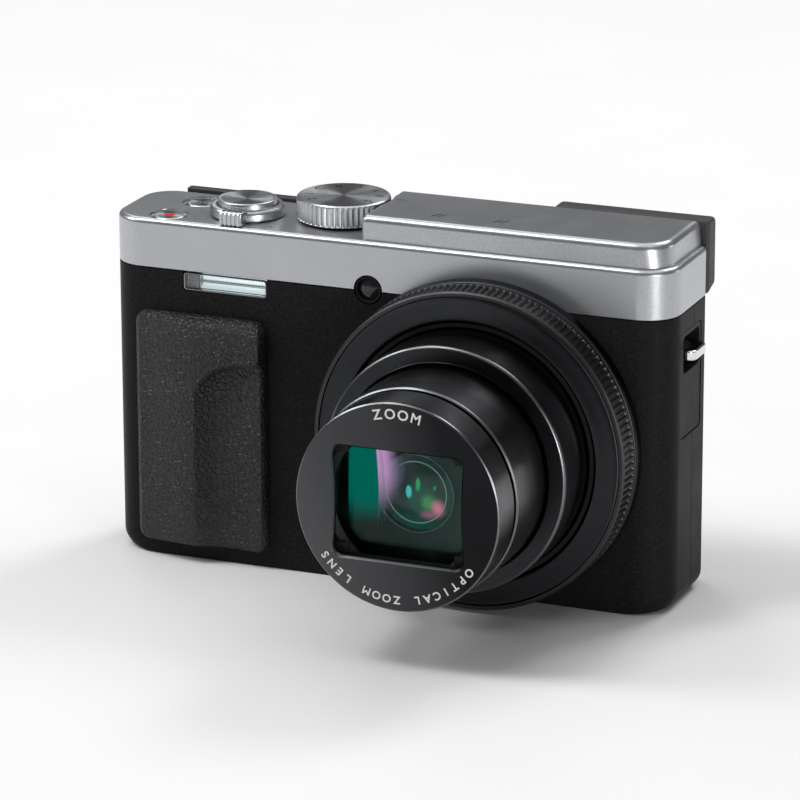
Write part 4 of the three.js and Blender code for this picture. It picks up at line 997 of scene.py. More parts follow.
# centre, size, softness, colour and share of each painted glint
PAINTED_GLINTS = [
    ((1.2, -1.2), (3.4, 3.4), 0.35, rgb(0.0, 0.05, 0.03), 0.8),
    ((0.4, 1.6), (0.55, 1.5), 0.5, rgb(0.01, 0.3, 0.09), 0.9),
    ((-1.3, 0.1), (0.7, 1.4), 0.45, rgb(0.05, 0.5, 0.5), 0.95),
    ((2.2, -1.6), (1.9, 2.2), 0.9, rgb(0.05, 0.24, 0.08), 0.85),
    ((3.9, -2.6), (1.7, 2.3), 0.9, rgb(0.85, 0.22, 0.33), 0.8),
    ((2.2, -3.9), (2.2, 1.2), 0.9, rgb(0.5, 0.14, 0.3), 0.6),
    ((3.4, 1.2), (0.35, 0.5), 0.5, rgb(0.0, 0.25, 0.12), 0.8),
]

FRONT_REFLECTIONS = (front_glass_reflections(), "lens_glass")
SECOND_REFLECTIONS = (second_glass_reflections(), "lens_glass")


def cone_painted_light():
    """The grey ring round the inner element: painted shade on the left, and painted light, paler and
    greener, at the lower right.
    """
    n = Nodes("cone_grey")
    across, up = axes(n, LENS)
    # painted light and shade: lighter towards the lower right, darker towards the left
    slope = n.maths("ADD", n.times(across, 0.8), n.times(up, -0.5))
    grit = n.noise(0.3, 2.0)
    tone = n.blend(n.spread(slope, 0.0, 1.0, -4.0, 11.0), rgb(0.006, 0.009, 0.008), rgb(0.13, 0.165, 0.148))
    return n.surface(
        base_color=n.blend(n.times(grit, 0.12), tone, rgb(0.01)), roughness=n.spread(grit, 0.45, 0.55),
        specular_ior_level=0.3,
    )


CONE = (cone_painted_light(), "black_plastic")
lens_inside()


# ---- Grip ----
GRIP = span("grip_pad")
GRIP_THICK = FRONT - GRIP[2]
OUTER_THICK = 1.35
RIDGE_X = GRIP[0] + 12.6
VALLEY_X = RIDGE_X + 5.2
VALLEY_THICK = 1.25
ARCH_Z, ARCH_RISE, ARCH_RUN = 33.2, 6.3, 3.6
GRIP_CORNER = 2.4
GRIP_STEP = 0.17
PEBBLE = 0.98
PEBBLE_DEPTH = 0.05


def smooth(value, low, high):
    t = np.clip((value - low) / (high - low), 0, 1)
    return t * t * (3 - 2 * t)


def pebbles(u, v, cell):
    """Height of a leather grain, 0 in the creases and 1 on the pebbles."""
    rng = np.random.default_rng(11)
    columns = int(math.ceil(u.max() / cell)) + 4
    rows = int(math.ceil(v.max() / cell)) + 4
    seeds = rng.uniform(0.1, 0.9, (columns, rows, 2))
    iu, iv = np.floor(u / cell).astype(int), np.floor(v / cell).astype(int)
    nearest = np.full(u.shape, 9.0)
    second = np.full(u.shape, 9.0)
    for du in (-1, 0, 1):
        for dv in (-1, 0, 1):
            cu, cv = iu + du, iv + dv
            seed = seeds[np.clip(cu + 1, 0, columns - 1), np.clip(cv + 1, 0, rows - 1)]
            d = np.hypot(cu + seed[..., 0] - u / cell, cv + seed[..., 1] - v / cell)
            second = np.minimum(second, np.maximum(d, nearest))
            nearest = np.minimum(nearest, d)
    return smooth(second - nearest, 0.0, 0.3) * (1 - 0.3 * nearest)


def ease(distance, width):
    """0 at an edge and 1 a width away from it, rising like a quarter round."""
    return np.sqrt(np.clip(distance / width, 0, 1))


def grip_height(x, z, left, right, share):
    """How far the pad stands out: a ridge for the fingers with an arched hollow behind it."""
    rise = OUTER_THICK + (GRIP_THICK - OUTER_THICK) * smooth(x, GRIP[0], RIDGE_X) ** 0.9
    plateau = np.where(x < RIDGE_X, rise, GRIP_THICK - 0.35 * smooth(x, RIDGE_X, GRIP[1]))
    fall = np.clip((x - RIDGE_X) / (VALLEY_X - RIDGE_X), 0, 1)
    slope = GRIP_THICK - (GRIP_THICK - VALLEY_THICK) * np.sin(fall * math.pi / 2)
    valley = np.where(x < VALLEY_X, slope, VALLEY_THICK + 0.8 * smooth(x, VALLEY_X, GRIP[1]))
    arch = ARCH_Z + ARCH_RISE * (1 - np.exp(-np.maximum(x - RIDGE_X, 0) / ARCH_RUN))
    hollow = smooth(arch - z, -0.5, 1.3) * smooth(x, RIDGE_X - 0.2, RIDGE_X + 0.2)
    height = plateau * (1 - hollow) + np.minimum(plateau, valley) * hollow
    below_top = GRIP[5] - z
    top_edge = np.clip(below_top / (1.0 + 1.2 * share), 0, 1) * 0.4 + 0.6 * ease(below_top, 0.6)
    edge = np.minimum.reduce([ease(x - left, 1.0), ease(right - x, 0.7), top_edge, ease(z - GRIP[4], 1.0)])
    grain = pebbles(x - GRIP[0] + 0.5 * np.sin(z), z - GRIP[4], PEBBLE)
    height = height * (0.22 + 0.78 * edge) + PEBBLE_DEPTH * (grain - 1) * smooth(edge, 0.3, 0.9)
    return np.minimum(height, GRIP_THICK)


def grip_pad():
    """A net of points over the pad's front, closed by a flat back."""
    columns = int((GRIP[1] - GRIP[0]) / GRIP_STEP)
    rows = int((GRIP[5] - GRIP[4]) / GRIP_STEP)
    share, up = np.meshgrid(np.linspace(0, 1, columns + 1), np.linspace(0, 1, rows + 1), indexing="ij")
    z = GRIP[4] + up * (GRIP[5] - GRIP[4])
    inside = GRIP_CORNER - np.minimum(z - GRIP[4], GRIP[5] - z)
    pull = GRIP_CORNER - np.sqrt(np.maximum(GRIP_CORNER**2 - np.maximum(inside, 0) ** 2, 0))
    left, right = GRIP[0] + pull, GRIP[1] - pull
    x = left + share * (right - left)
    height = grip_height(x, z, left, right, share)
    verts = [tuple(p) for p in np.stack([x, FRONT - height, z], -1).reshape(-1, 3)]
    across, upward = x.shape
    faces = [
        (i * upward + j, (i + 1) * upward + j, (i + 1) * upward + j + 1, i * upward + j + 1)
        for i in range(across - 1) for j in range(upward - 1)
    ]
    border = [i * upward for i in range(across)]
    border += [(across - 1) * upward + j for j in range(1, upward)]
    border += [i * upward + upward - 1 for i in range(across - 2, -1, -1)]
    border += [j for j in range(upward - 2, 0, -1)]
    base = len(verts)
    verts += [(verts[k][0], FRONT - 0.02, verts[k][2]) for k in border]
    count = len(border)
    faces += [(border[k], border[(k + 1) % count], base + (k + 1) % count, base + k) for k in range(count)]
    faces.append(tuple(range(base, base + count)))
    obj = mesh_object("grip", verts, faces)
    dress(obj, "grip_leather", LEATHER, "camera_body", ["grip_pad"], 60)


def rubber(name, leather):
    """Soft black. With leather, a wrinkled grain of small pebbles parted by thin creases, darkened with
    painted shade.
    """
    n = Nodes(name)
    fine = n.noise(0.16, 3.0, 0.6)
    patches = n.spread(n.noise(4.0, 2.0), 0, 1)
    tone = n.blend(patches, rgb(0.0095, 0.0095, 0.01), rgb(0.0125, 0.0125, 0.013))
    normal = n.bump(fine, 0.02)
    if leather:
        wander = {"Vector": n.point(), "Scale": 1 / (1.1 * MM), "Detail": 1.0}
        drift = n.add("ShaderNodeTexNoise", wander).outputs["Color"]
        push = n.add("ShaderNodeVectorMath", {0: drift, 1: (0.5 * MM,) * 3}, operation="MULTIPLY")
        where = n.add("ShaderNodeVectorMath", {0: n.point(), 1: push.outputs[0]}, operation="ADD")
        pebble = {"Vector": where.outputs[0], "Scale": 1 / (1.0 * MM)}
        edge = n.add("ShaderNodeTexVoronoi", pebble, feature="DISTANCE_TO_EDGE").outputs["Distance"]
        normal = n.bump(n.spread(edge, 0.0, 1.0, 0.0, 0.22), 0.14, normal)
        # painted shade: the creases are darkened in the colour
        painted_crease_shade = n.spread(edge, 1.0, 0.0, 0.0, 0.09)
        tone = n.blend(n.times(painted_crease_shade, 0.25), tone, rgb(0.004))
    rough = n.spread(fine, 0.42, 0.54)
    return n.surface(base_color=tone, roughness=rough, normal=normal, specular_ior_level=0.5)


LEATHER = (rubber("grip_rubber", True), "grip_rubber")
RUBBER = (rubber("soft_rubber", False), "grip_rubber")
grip_pad()


# ---- Flash and focus lamp ----
def flash_mirror():
    """The flash's white reflector, painted brighter to the right and glowing by emission as painted light,
    seen through a fine grid of prisms.
    """
    n = Nodes("flash_mirror")
    x, z = axes(n)
    stripes = n.maths("SINE", n.times(x, TAU / 0.62))
    rows = n.maths("SINE", n.times(z, TAU / 0.8))
    mesh = n.spread(n.maths("MAXIMUM", stripes, rows), 0.0, 1.0, 0.2, 1.0)
    # painted light: brighter towards the right
    across = n.spread(x, 0.0, 1.0, FLASH[0], FLASH[1])
    tone = n.blend(across, rgb(0.75, 0.8, 0.81), rgb(0.97, 1.0, 1.0))
    tone = n.blend(n.times(mesh, 0.18), tone, rgb(0.4, 0.62, 0.66))
    rough = n.spread(rows, 0.2, 0.3, -1, 1)
    # emission makes the reflector glow as painted light
    return n.surface(base_color=tone, roughness=rough, emission_color=tone, emission_strength=0.6)


MIRROR = (flash_mirror(), "flash_glass")
CLEAR = (clear("clear_plastic", rgb(0.93, 0.96, 0.96)), "flash_glass")
EYE_GLASS = (clear("eye_glass", rgb(0.35, 0.38, 0.42)), "lens_glass")


def flash():
    x0, x1, _, _, z0, z1 = FLASH
    rim = plate("rim", (x0, x1, z0, z1), 0.6, "y", FRONT + 0.75, FRONT + 0.1)
    boolean(rim, plate("opening", (x0 + 0.22, x1 - 0.22, z0 + 0.22, z1 - 0.15), 0.45, "y", -20, 0))
    dress(soften(rim, 0.08), "flash_rim", FLASH_RIM, "camera_body")
    pane = plate("pane", (x0 + 0.3, x1 - 0.3, z0 + 0.3, z1 - 0.25), 0.4, "y", FRONT + 0.5, FRONT + 0.22)
    ribs = [(x0 + 0.75 + 0.42 * k, 0.16, 0.75) for k in range(5)]
    ribs += [(x0 + 3.2 + 0.55 * k, 0.1, 0.62) for k in range(int((x1 - x0 - 3.4) / 0.55))]
    parts = [pane]
    for x, width, back in ribs:
        parts.append(block("rib", x, x + width, FRONT + 0.45, FRONT + back, z0 + 0.4, z1 - 0.35))
    dress(merge("flash_pane", parts), "flash_pane", CLEAR, "camera_body", ["flash_window"])
    mirror_box = (x0 + 3.0, x1 - 0.5, z0 + 0.35, z1 - 0.3)
    dress(trough(mirror_box, FRONT + 1.0, 1.2), "flash_reflector", MIRROR, "camera_body", ["flash_unit"])
    dark = block("dark", x0 + 0.4, x0 + 2.85, FRONT + 1.2, FRONT + 2.4, z0 + 0.3, z1 - 0.3)
    dress(soften(dark, 0.1), "flash_side_cell", SHADE, "camera_body")
    tube = rod("tube", "x", (FRONT + 1.5, (z0 + z1) / 2), 0.35, x0 + 3.0, x1 - 0.6, 24)
    dress(tube, "flash_tube", CHROME, "camera_body")


def trough(limits, y, depth):
    """A trough whose floor curves back, open to the front."""
    x0, x1, z0, z1 = limits
    steps = 14
    section = []
    for t in (k / steps for k in range(steps + 1)):
        section.append((y + depth * math.sin(math.pi * t), z0 + (z1 - z0) * t))
    section += [(y + depth + 0.8, z1), (y + depth + 0.8, z0)]
    return loft("trough", [at_x(section, x0), at_x(section, x1)])


def lamp():
    x, _, z = LAMP
    r = LAMP_R
    ring = [(r - 0.55, FRONT + 0.9), (r, FRONT + 0.9), (r, FRONT + 0.22), (r - 0.2, FRONT + 0.08)]
    ring += [(r - 0.55, FRONT + 0.2)]
    obj = lathe("lamp_ring", ring, (x, z), "y", 96)
    dress(obj, "lamp_bezel", PLASTIC, "camera_body")
    lens = [(0.04, FRONT + 0.3)]
    for k in range(1, 9):
        share = k / 8
        lens.append(((r - 0.6) * share, FRONT + 0.3 + 0.5 * share * share))
    lens += [(r - 0.6, FRONT + 1.4), (0.04, FRONT + 1.4)]
    obj = lathe("lamp_lens", lens, (x, z), "y", 64, False)
    dress(obj, "lamp_lens", LAMP_GLASS, "camera_body", ["focus_lamp_lens"], 60)
    ring = [(0.55, FRONT + 0.34), (0.75, FRONT + 0.33), (0.75, FRONT + 0.6), (0.55, FRONT + 0.6)]
    dress(lathe("lamp_eye", ring, (x, z), "y", 48), "lamp_eye", GREY, "camera_body")


FLASH_RIM = (metal("flash_rim", rgb(0.3, 0.31, 0.32), 0.2), "chrome")
SHADE = (plain("dark_cell", rgb(0.09, 0.1, 0.1), 0.2, 0, 0.3, 0.6), "flash_glass")
LAMP_GLASS = (plain("lamp_glass", rgb(0.02, 0.021, 0.023), 0.08, 0, 0.2, 3.0), "dark_glass")
flash()
lamp()


# ---- Top controls ----
def fluted(name, radius, low, high, centre, flutes, depth, crown):
    """A dial with upright flutes and a crowned, spun top."""
    def shape(r, place, angle):
        if r < radius - 0.02 or not low + 0.35 < place < high - 0.35:
            return r
        wave = 0.5 + 0.5 * math.cos(flutes * angle)
        return r - depth * (1 - wave ** 0.7)

    profile = [(0.05, low), (radius - 0.5, low), (radius - 0.12, low + 0.3)]
    profile += [(radius, low + 0.45), (radius, low + 0.6), (radius, high - 0.75), (radius, high - 0.6)]
    profile += [(radius - 0.1, high - 0.32), (radius - 0.35, high - 0.1), (radius - 0.6, high - crown)]
    profile += [(radius - 1.2, high - crown + 0.02), (0.05, high - crown)]
    return lathe(name, profile, centre, "z", flutes * 8, False, shape)


def by_facing_up(obj, threshold=0.9):
    """Keeps the look of a spun top on faces that look up, and gives the rest the side's."""
    paint_faces(obj, (DIAL_SIDE,), lambda place, normal: 0 if normal.z > threshold else 1)


def mode_dial():
    low, high = DECK + 0.3, DIAL[5]
    obj = fluted("dial", DIAL_R, low, high, (DIAL_X, DIAL_Y), 50, 0.36, 0.12)
    by_facing_up(dress(obj, "dial_head", DIAL_TOP, "mode_dial", ["mode_dial"], 30))
    shaft = rod("shaft", "z", (DIAL_X, DIAL_Y), 2.2, DECK - 5.4, low + 0.5, 32)
    dress(shaft, "dial_shaft", STEEL, "mode_dial")
    marks = "PASMC12345"
    ring = DIAL_R - 2.3
    glyphs = []
    for k, mark in enumerate(marks):
        angle = TAU * (k + 0.35) / len(marks)
        x, y = DIAL_X + ring * math.cos(angle), DIAL_Y + ring * math.sin(angle)
        glyphs.append(turn_and_move(glyph(mark, 2.5), angle - math.pi / 2, "Z", x, y, high - 0.1))
    dress(merge("dial_marks", glyphs), "dial_marks", DARK_INK, "mode_dial")


def zoom_lever():
    _, _, y0, _, _, high = span("zoom_lever")
    low = DECK + 0.2
    outer = 6.9
    inner = SHUTTER_R + 0.25
    profile = [
        (HUB_R - 1.1, DECK - 3.0), (HUB_R - 0.3, DECK - 3.0), (HUB_R - 0.3, low), (outer - 0.15, low),
        (outer, low + 0.15), (outer, high - 0.7), (outer - 0.12, high - 0.35), (outer - 0.4, high - 0.08),
        (outer - 0.75, high), (inner + 0.12, high), (inner, high - 0.12), (inner, DECK + 0.8),
        (HUB_R - 1.1, DECK + 0.8),
    ]
    ring = lathe("lever", profile, (SHUTTER_X, SHUTTER_Y), "z", 144)
    tab_x = SHUTTER_X - 1.7
    tab = block("tab", tab_x, tab_x + 4.4, y0 + 0.25, SHUTTER_Y - outer + 0.9, DECK + 0.12, high + 0.5)
    parts = [ring, soften(tab, 0.3, 3)]
    section = [
        (y0 + 0.02, DECK + 0.15), (y0 + 0.02, high + 0.1), (y0 + 0.45, high + 0.62),
        (y0 + 2.9, high + 0.62), (y0 + 2.9, high - 0.5), (y0 + 0.6, DECK + 0.15),
    ]
    for k in range(5):
        x = tab_x + 0.3 + k * 0.84
        parts.append(soften(loft("rib", [at_x(section, x), at_x(section, x + 0.42)]), 0.1, 2))
    obj = dress(merge("lever", parts), "lever_ring", DIAL_TOP, "zoom_lever", ["zoom_lever"], 30)
    by_facing_up(obj)


def round_button(name, node, radius, low, high, dip, edge):
    """A spun button cap whose top may dip."""
    profile = [(0.05, low), (radius, low), (radius, high - edge)]
    for a in (0.5, 1.0, 1.57):
        profile.append((radius - edge * (1 - math.cos(a)), high - edge * (1 - math.sin(a))))
    for share in (1 - k / 8 for k in range(1, 9)):
        profile.append((max((radius - edge) * share, 0.05), high - dip * (1 - share * share)))
    obj = lathe(name, profile, centre_of(node)[:2], "z", 96, False)
    by_facing_up(dress(obj, name, DIAL_TOP, node, [node], 40), 0.85)


def small_button(node):
    """A flat cap, and the middle of its top."""
    x, y, _ = centre_of(node)
    low, high = span(node)[4:]
    round_button(node + "_cap", node, BUTTON_R, low, high, 0.0, 0.35)
    return x, y, high


def top_buttons():
    z0, z1 = span("shutter_button")[4:]
    cap_low = DECK + 1.7
    round_button("shutter_cap", "shutter_button", SHUTTER_R, cap_low, z1, 0.25, 0.3)
    stem = rod("stem", "z", (SHUTTER_X, SHUTTER_Y), HUB_R - 1.4, z0, cap_low + 0.1, 32)
    dress(stem, "shutter_stem", STEEL, "shutter_button")
    x, y, high = small_button("movie_button")
    dress(rod("dot", "z", (x, y), 1.0, high - 0.05, high + 0.012, 32), "movie_dot", RED_INK, "movie_button")
    x, y, high = small_button("power_button")
    section = [(0.75, high - 0.02), (1.0, high - 0.02), (1.0, high + 0.01), (0.75, high + 0.01)]
    ring = lathe("ring", section, (x, y), "z", 48)
    bar = block("bar", x - 0.1, x + 0.1, y + 0.4, y + 1.3, high - 0.02, high + 0.014)
    dress(merge("power_mark", [ring, bar]), "power_mark", DARK_INK, "power_button")


def deck_prints():
    ticks = []
    for x, y, turn in ((SHUTTER_X - 7.1, -7.3, 0.5), (SHUTTER_X + 7.4, -7.5, -0.3)):
        tick = block("tick", -0.6, 0.6, -0.1, 0.1, DECK - 0.02, DECK + 0.012)
        ticks.append(turn_and_move(tick, turn, "Z", x, y, 0))
    index = block("index", HUMP_LEFT + 2.0, HUMP_LEFT + 3.8, 3.4, 3.65, HUMP - 0.02, HUMP + 0.012)
    dress(merge("deck_print", [*ticks, index]), "deck_print", DARK_INK, "camera_body")


mode_dial()
zoom_lever()
top_buttons()
deck_prints()


# ---- Sides ----
def side_and_reach(side, kind):
    """A side piece's node, its box, and how far out it starts and ends."""
    node = kind + ("_right" if side > 0 else "_left")
    box = span(node)
    inner, outer = sorted((abs(box[0]), abs(box[1])))
    return node, box[2:], inner, outer


def mirrored(obj, side):
    """The piece as it was made for the right, or turned over for the left."""
    if side < 0:
        obj.data.transform(Matrix.Scale(-1, 4, (1, 0, 0)))
        outward(obj)
    return obj


def side_plate(side):
    node, (y0, y1, z0, z1), inner, outer = side_and_reach(side, "side_plate")
    cup_low = span("side_plate_left")[4]
    face = plate("face", (y0, y1, z0, z1), 1.1, "x", outer - 1.3, outer, 0, 0.12, 2)
    boolean(face, plate("cup", (y0, y1, cup_low, z1), 1.1, "x", inner, outer - 0.5), "UNION")
    pocket = (y0 + 1.0, y1 - 0.8, cup_low + 1.0, z1 - 0.9)
    boolean(face, plate("pocket", pocket, 0.9, "x", inner + 0.8, outer + 1, 0.5, 0, 3))
    soften(face, 0.08, 2, 50)
    dress(mirrored(face, side), node + "_shell", PLASTIC, "camera_body", [node], 30)


def strap_lug(side):
    """A flat bar bent into a staple."""
    node, (y0, y1, z0, z1), inner, outer = side_and_reach(side, "strap_lug")
    thick, bend = 0.85, 1.5
    turn_r = bend - thick / 2
    path = [(inner, y0 + thick / 2), (outer - bend, y0 + thick / 2)]
    for k in range(1, 9):
        a = -math.pi / 2 + math.pi / 2 * k / 8
        path.append((outer - bend + turn_r * math.cos(a), y0 + bend + turn_r * math.sin(a)))
    path += [(x, y0 + y1 - y) for x, y in reversed(path)]
    rings = []
    for i, (x, y) in enumerate(path):
        before, after = path[max(i - 1, 0)], path[min(i + 1, len(path) - 1)]
        dx, dy = after[0] - before[0], after[1] - before[1]
        span_length = math.hypot(dx, dy)
        nx, ny = -dy / span_length, dx / span_length
        section = outline(-thick / 2, thick / 2, z0, z1, 0.28, 4)
        rings.append([(x + nx * a, y + ny * a, b) for a, b in section])
    dress(mirrored(loft("lug", rings), side), node + "_staple", CHROME, "camera_body", [node], 50)


def speaker_and_slot():
    # Speaker holes and a slot drawn as flat dark discs on the side: painted shade where the holes are.
    dots = []
    for k in range(5):
        dots.append(rod("dot", "x", (REAR - 2.0, 11.2 + 1.5 * k), 0.32, HALF - 0.05, HALF + 0.004, 20))
    slot = plate("slot", (4.9, 5.7, 25.5, 28.0), 0.38, "x", HALF - 0.05, HALF + 0.004)
    dress(merge("side_hole_shade", [*dots, slot]), "side_hole_shade", BORE, "camera_body", (), 30)


for side in (1, -1):
    side_plate(side)
    strap_lug(side)
speaker_and_slot()


# ---- Viewfinder ----
def finder():
    x0, x1, _, y1, z0, z1 = span("finder_housing")
    eye = span("eyepiece_lens")
    rim = span("eyepiece_frame")
    section = [(REAR + GAP, z0), (y1, z0 + 1.3)]
    bend = 1.1
    for a in (math.pi / 2 * k / 6 for k in range(7)):
        section.append((y1 - bend + bend * math.cos(a), z1 - bend + bend * math.sin(a)))
    section += [(REAR + GAP, z1)]
    housing = loft("housing", [at_x(section, x0), at_x(section, x1)])
    soften(housing, 0.7, 4, 60)
    tools = [block("light", eye[0], eye[1], 4, 40, eye[4], eye[5])]
    seat = grown("eyepiece_frame", GAP)
    tools.append(plate("seat", (*seat[:2], *seat[4:]), 1.0, "y", y1 - 1, 40))
    wheel_x, _, wheel_z = centre_of("dioptre_wheel")
    tools.append(rod("wheel", "y", (wheel_x, wheel_z), 2.2, y1 - 1.6, 40))
    boolean(housing, tools)
    dress(housing, "finder_shell", GREY, "camera_body", ["finder_housing"], 30)
    tube = block("tube", eye[0] - 1.2, eye[1] + 1.2, 0.9, REAR + 0.4, eye[4] - 1.0, eye[5] + 0.9)
    boolean(tube, block("bore", eye[0], eye[1], -5, 40, eye[4], eye[5]))
    dress(tube, "finder_tube", BORE, "camera_body")
    frame_piece = plate("rim", (*rim[:2], *rim[4:]), 1.0, "y", y1 - 0.85, y1, 0, 0.35, 4)
    boolean(frame_piece, plate("hole", (*eye[:2], *eye[4:]), 0.6, "y", 0, 40))
    soften(frame_piece, 0.12)
    dress(frame_piece, "eyepiece_rim", RUBBER, "camera_body", ["eyepiece_frame"], 35)
    x0, x1, _, _, z0, z1 = grown("eyepiece_lens", -0.02)
    lens = plate("lens", (x0, x1, z0, z1), 0.5, "y", eye[2], eye[3], 0, 0.5, 4)
    dress(lens, "eyepiece_glass", EYE_GLASS, "camera_body", ["eyepiece_lens"], 40)
    wheel = fluted("wheel", 1.9, 0.0, 1.3, (0, 0), 20, 0.12, 0.05)
    turn_and_move(wheel, -math.pi / 2, "X", wheel_x, y1 - 1.3, wheel_z)
    dress(wheel, "dioptre_knob", PLASTIC, "dioptre_wheel", ["dioptre_wheel"], 30)


finder()


# ---- Screen and rear controls ----
def screen():
    x0, x1, y0, y1, z0, z1 = span("screen_frame")
    glass = span("screen_glass")
    seat = grown("screen_glass", GAP)
    hinge = span("hinge_plate")
    panel = plate("panel", (x0, x1, z0, z1), 1.4, "y", y0, y1, 0.2, 0.8, 4)
    axis_y, top_z, low_z = centre_of("hinge_plate")[1], hinge[5] - 0.8, hinge[4] + 0.8
    left, right = hinge[0] + 3.0 - 0.3, hinge[1] - 3.0 + 0.3
    tools = [
        block("leaf", left, right, 0, axis_y + 1.1, low_z - 2, 99),
        block("barrel", left, right, 0, axis_y + 2.3, top_z - 1.6, 99),
        block("relief", left - 3, right + 3, 0, axis_y + 1.1, low_z - 1.4, low_z + 1.4),
        rod("pin", "x", (axis_y, top_z), 0.6, left - 3, right + 3, 24),
        block("seat", *seat[:3], FAR, *seat[4:]),
    ]
    boolean(panel, tools)
    dress(panel, "screen_shell", PLASTIC, "screen", ["screen_frame"], 30)
    pane = plate("pane", (*glass[:2], *glass[4:]), 0.5, "y", glass[2], glass[3], 0, 0.12, 2)
    dress(pane, "screen_pane", DARK_GLASS, "screen", ["screen_glass"], 30)


def rear_round(node, dish):
    """A round button on the back, a little hollow."""
    x, _, z = centre_of(node)
    r = radius_of(node)
    y0, y1 = span(node)[2:4]
    profile = [(0.05, y0), (r, y0), (r, y1 - 0.25), (r - 0.08, y1 - 0.08), (r - 0.25, y1)]
    for share in (1 - k / 6 for k in range(1, 6)):
        profile.append(((r - 0.25) * share, y1 - dish * (1 - share ** 2)))
    profile.append((0.05, y1 - dish))
    obj = lathe(node, profile, (x, z), "y", 72, False)
    dress(obj, node + "_cap", PLASTIC, node, [node], 40)


def control_wheel():
    x, _, z = centre_of("control_wheel")
    r = radius_of("control_wheel")
    y0, y1 = span("control_wheel")[2:4]

    def knurl(radius, place, angle):
        if radius < r - 1.5 or place < y0 + 0.4:
            return radius
        return radius - 0.14 * (0.5 + 0.5 * math.cos(64 * angle))

    profile = [
        (4.7, y0), (r, y0), (r, y0 + 0.5), (r - 0.15, y0 + 0.9), (r - 0.6, y1 - 0.25), (r - 1.3, y1 - 0.02),
        (r - 1.8, y1), (r - 2.6, y1 - 0.12), (5.4, y1 - 0.25), (4.9, y1 - 0.5), (4.7, y1 - 0.8),
    ]
    obj = lathe("wheel", profile, (x, z), "y", 384, True, knurl)
    dress(obj, "wheel_ring", PLASTIC, "control_wheel", ["control_wheel"], 35)
    marks = []
    for a in (TAU * k / 4 for k in range(4)):
        place = (x + 6.4 * math.cos(a), z + 6.4 * math.sin(a))
        marks.append(rod("mark", "y", place, 0.35, y1 - 0.3, y1 - 0.1, 3))
    dress(merge("wheel_marks", marks), "wheel_marks", WHITE_INK, "control_wheel")


def thumb_rest():
    x0, x1, y0, y1, z0, z1 = span("thumb_rest")
    section = [
        (y0, z0), (y1 - 1.8, z0), (y1 - 0.4, z0 + 1.6), (y1, z0 + 3.4), (y1, z1 - 1.8), (y1 - 0.5, z1 - 0.4),
        (y1 - 1.3, z1), (y0, z1),
    ]
    pad = soften(loft("pad", [at_x(section, x0), at_x(section, x1)]), 0.6, 4, 25)
    dress(pad, "thumb_pad", RUBBER, "camera_body", ["thumb_rest"], 40)
    pitch = 1.5
    profile = [(0.42, y1 - 0.1), (0.4, y1 - 0.03), (0.25, y1 - 0.004), (0.04, y1)]
    bumps = []
    for row in range(6):
        for column in range(14):
            x = x0 + 2.6 + column * pitch + (row % 2) * pitch / 2
            z = z0 + 4.2 + row * 1.45
            if x <= x1 - 2.0:
                bumps.append(lathe("bump", profile, (x, z), "y", 14, False))
    dress(merge("thumb_bumps", bumps), "thumb_bumps", RUBBER, "camera_body", (), 60)


screen()
for name in ("playback_button", "display_button", "delete_button"):
    rear_round(name, 0.12)
rear_round("set_button", 0.25)
rear_round("finder_button", 0.12)
control_wheel()
thumb_rest()


# ---- Underside ----
def underside():
    """The tripod bush with its quarter-inch thread."""
    x, y, _ = centre_of("tripod_bush")
    outer = radius_of("tripod_bush")
    z0, z1 = span("tripod_bush")[4:]
    thread_r, depth, pitch = 3.175, 0.35, 1.27
    profile = [(outer, z0 + 0.15), (outer, z1), (thread_r, z1)]
    for k in range(int((z1 - z0 - 0.8) / pitch) * 2, -1, -1):
        profile.append((thread_r + (depth if k % 2 else 0.0), z0 + 0.7 + k * pitch / 2))
    profile += [(thread_r + 0.45, z0), (outer - 0.15, z0)]
    dress(lathe("bush", profile, (x, y), "z", 96), "bush_thread", BRASS, "camera_body", ["tripod_bush"], 30)


underside()

PLAIN_NODES = {
    "chassis": STEEL, "main_board": BOARD, "battery_case": BORE, "battery": BATTERY, "memory_card": CARD,
    "battery_door": PLASTIC, "battery_latch": GREY, "bottom_screw_1": STEEL, "bottom_screw_2": STEEL,
    "terminal_door": PLASTIC, "terminal_sockets": BORE, "finder_display": DARK_GLASS, "hinge_plate": STEEL,
    "aperture_unit": BORE, "rear_element": FRONT_REFLECTIONS, "image_sensor": DARK_GLASS, "zoom_motor": STEEL,
    "barrier_blade_upper_front": BORE, "barrier_blade_lower_front": BORE,
    "barrier_blade_upper_rear": BORE, "barrier_blade_lower_rear": BORE,
}
for node, (material, slot) in PLAIN_NODES.items():
    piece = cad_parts[node]
    piece.data.materials.clear()
    piece.data.materials.append(material)
    edge = piece.modifiers.new("edge", "BEVEL")
    edge.width = 0.12 * MM
    edge.segments = 2
    edge.limit_method = "ANGLE"
    edge.angle_limit = math.radians(40)


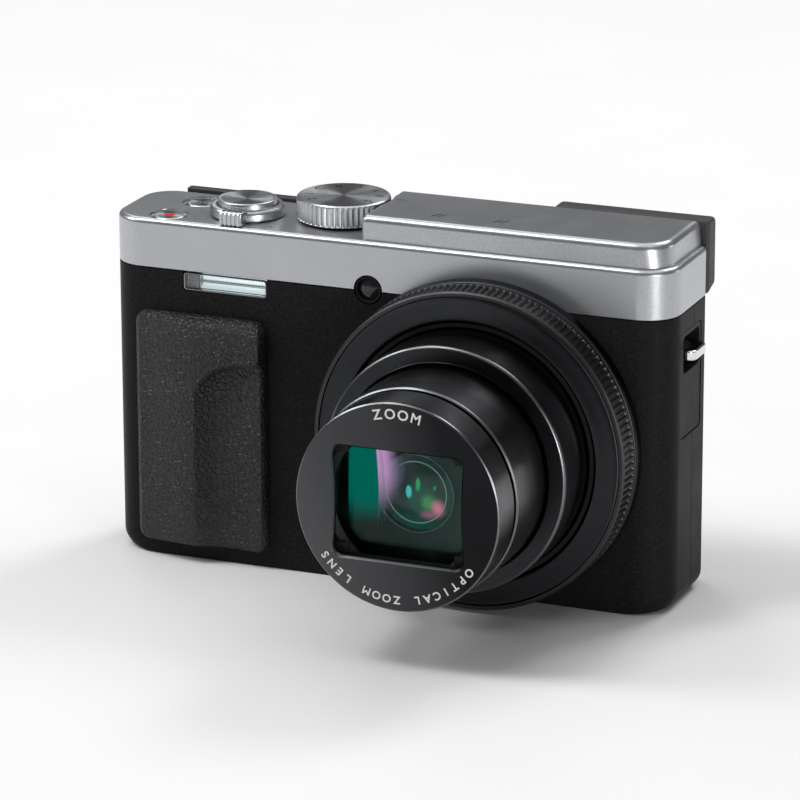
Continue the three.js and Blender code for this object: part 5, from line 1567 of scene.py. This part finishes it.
# ---- Floor, light and camera ----
def studio():
    side = 6000
    corners = [(-side, -side, 0), (side, -side, 0), (side, side, 0), (-side, side, 0)]
    floor = mesh_object("floor", corners, [(0, 1, 2, 3)])
    floor.data.materials.append(plain("floor_paper", rgb(0.8), 0.85, 0, 0.01, 60.0, 0.2))

    # name, place, width, height and power of each softbox, in metres and watts
    softboxes = (
        ("overhead", (0.0, 0.1, 1.5), 2.2, 2.0, 15),
        ("front_left", (-0.95, -0.35, 0.75), 0.4, 0.4, 5.5),
        ("edge_light", (-0.62, -0.5, 1.42), 0.42, 0.42, 7),
        ("right_strip", (0.5, -0.42, 0.07), 0.08, 0.12, 1.3),
        ("back_left", (-0.5, 0.62, 0.75), 0.3, 0.3, 0.9),
        ("back_high", (0.26, 0.66, 0.8), 0.3, 0.3, 3.2),
        ("back_right", (0.85, 0.62, 0.16), 0.2, 0.2, 0.5),
    )
    middle = Vector((0.0, 0.0, 0.04))
    for name, place, width, height, power in softboxes:
        light = bpy.data.lights.new(name, "AREA")
        light.shape = "RECTANGLE"
        light.size, light.size_y = width, height
        light.energy = power
        softbox = placed(name, light)
        softbox.location = place
        softbox.rotation_euler = (middle - Vector(place)).to_track_quat("-Z", "Y").to_euler()
        softbox.visible_camera = False
    world = bpy.data.worlds.new("studio")
    world.use_nodes = True
    background = world.node_tree.nodes["Background"]
    background.inputs["Color"].default_value = rgb(0.95, 0.97, 1.0)
    background.inputs["Strength"].default_value = 0.1
    bpy.context.scene.world = world
    bpy.context.scene.view_settings.view_transform = "Standard"


def camera():
    data = bpy.data.cameras.new("camera")
    data.lens = 222.29
    data.sensor_width = 36.0
    data.clip_start = 0.05
    data.clip_end = 50
    obj = placed("camera", data)
    obj.location = (0.32269, -0.79505, 0.30018)
    look = Vector((-0.35984, 0.88400, -0.29842))
    roll = Quaternion(look.normalized(), math.radians(0.16))
    obj.rotation_mode = "QUATERNION"
    obj.rotation_quaternion = roll @ look.to_track_quat("-Z", "Y")
    bpy.context.scene.camera = obj


studio()
camera()
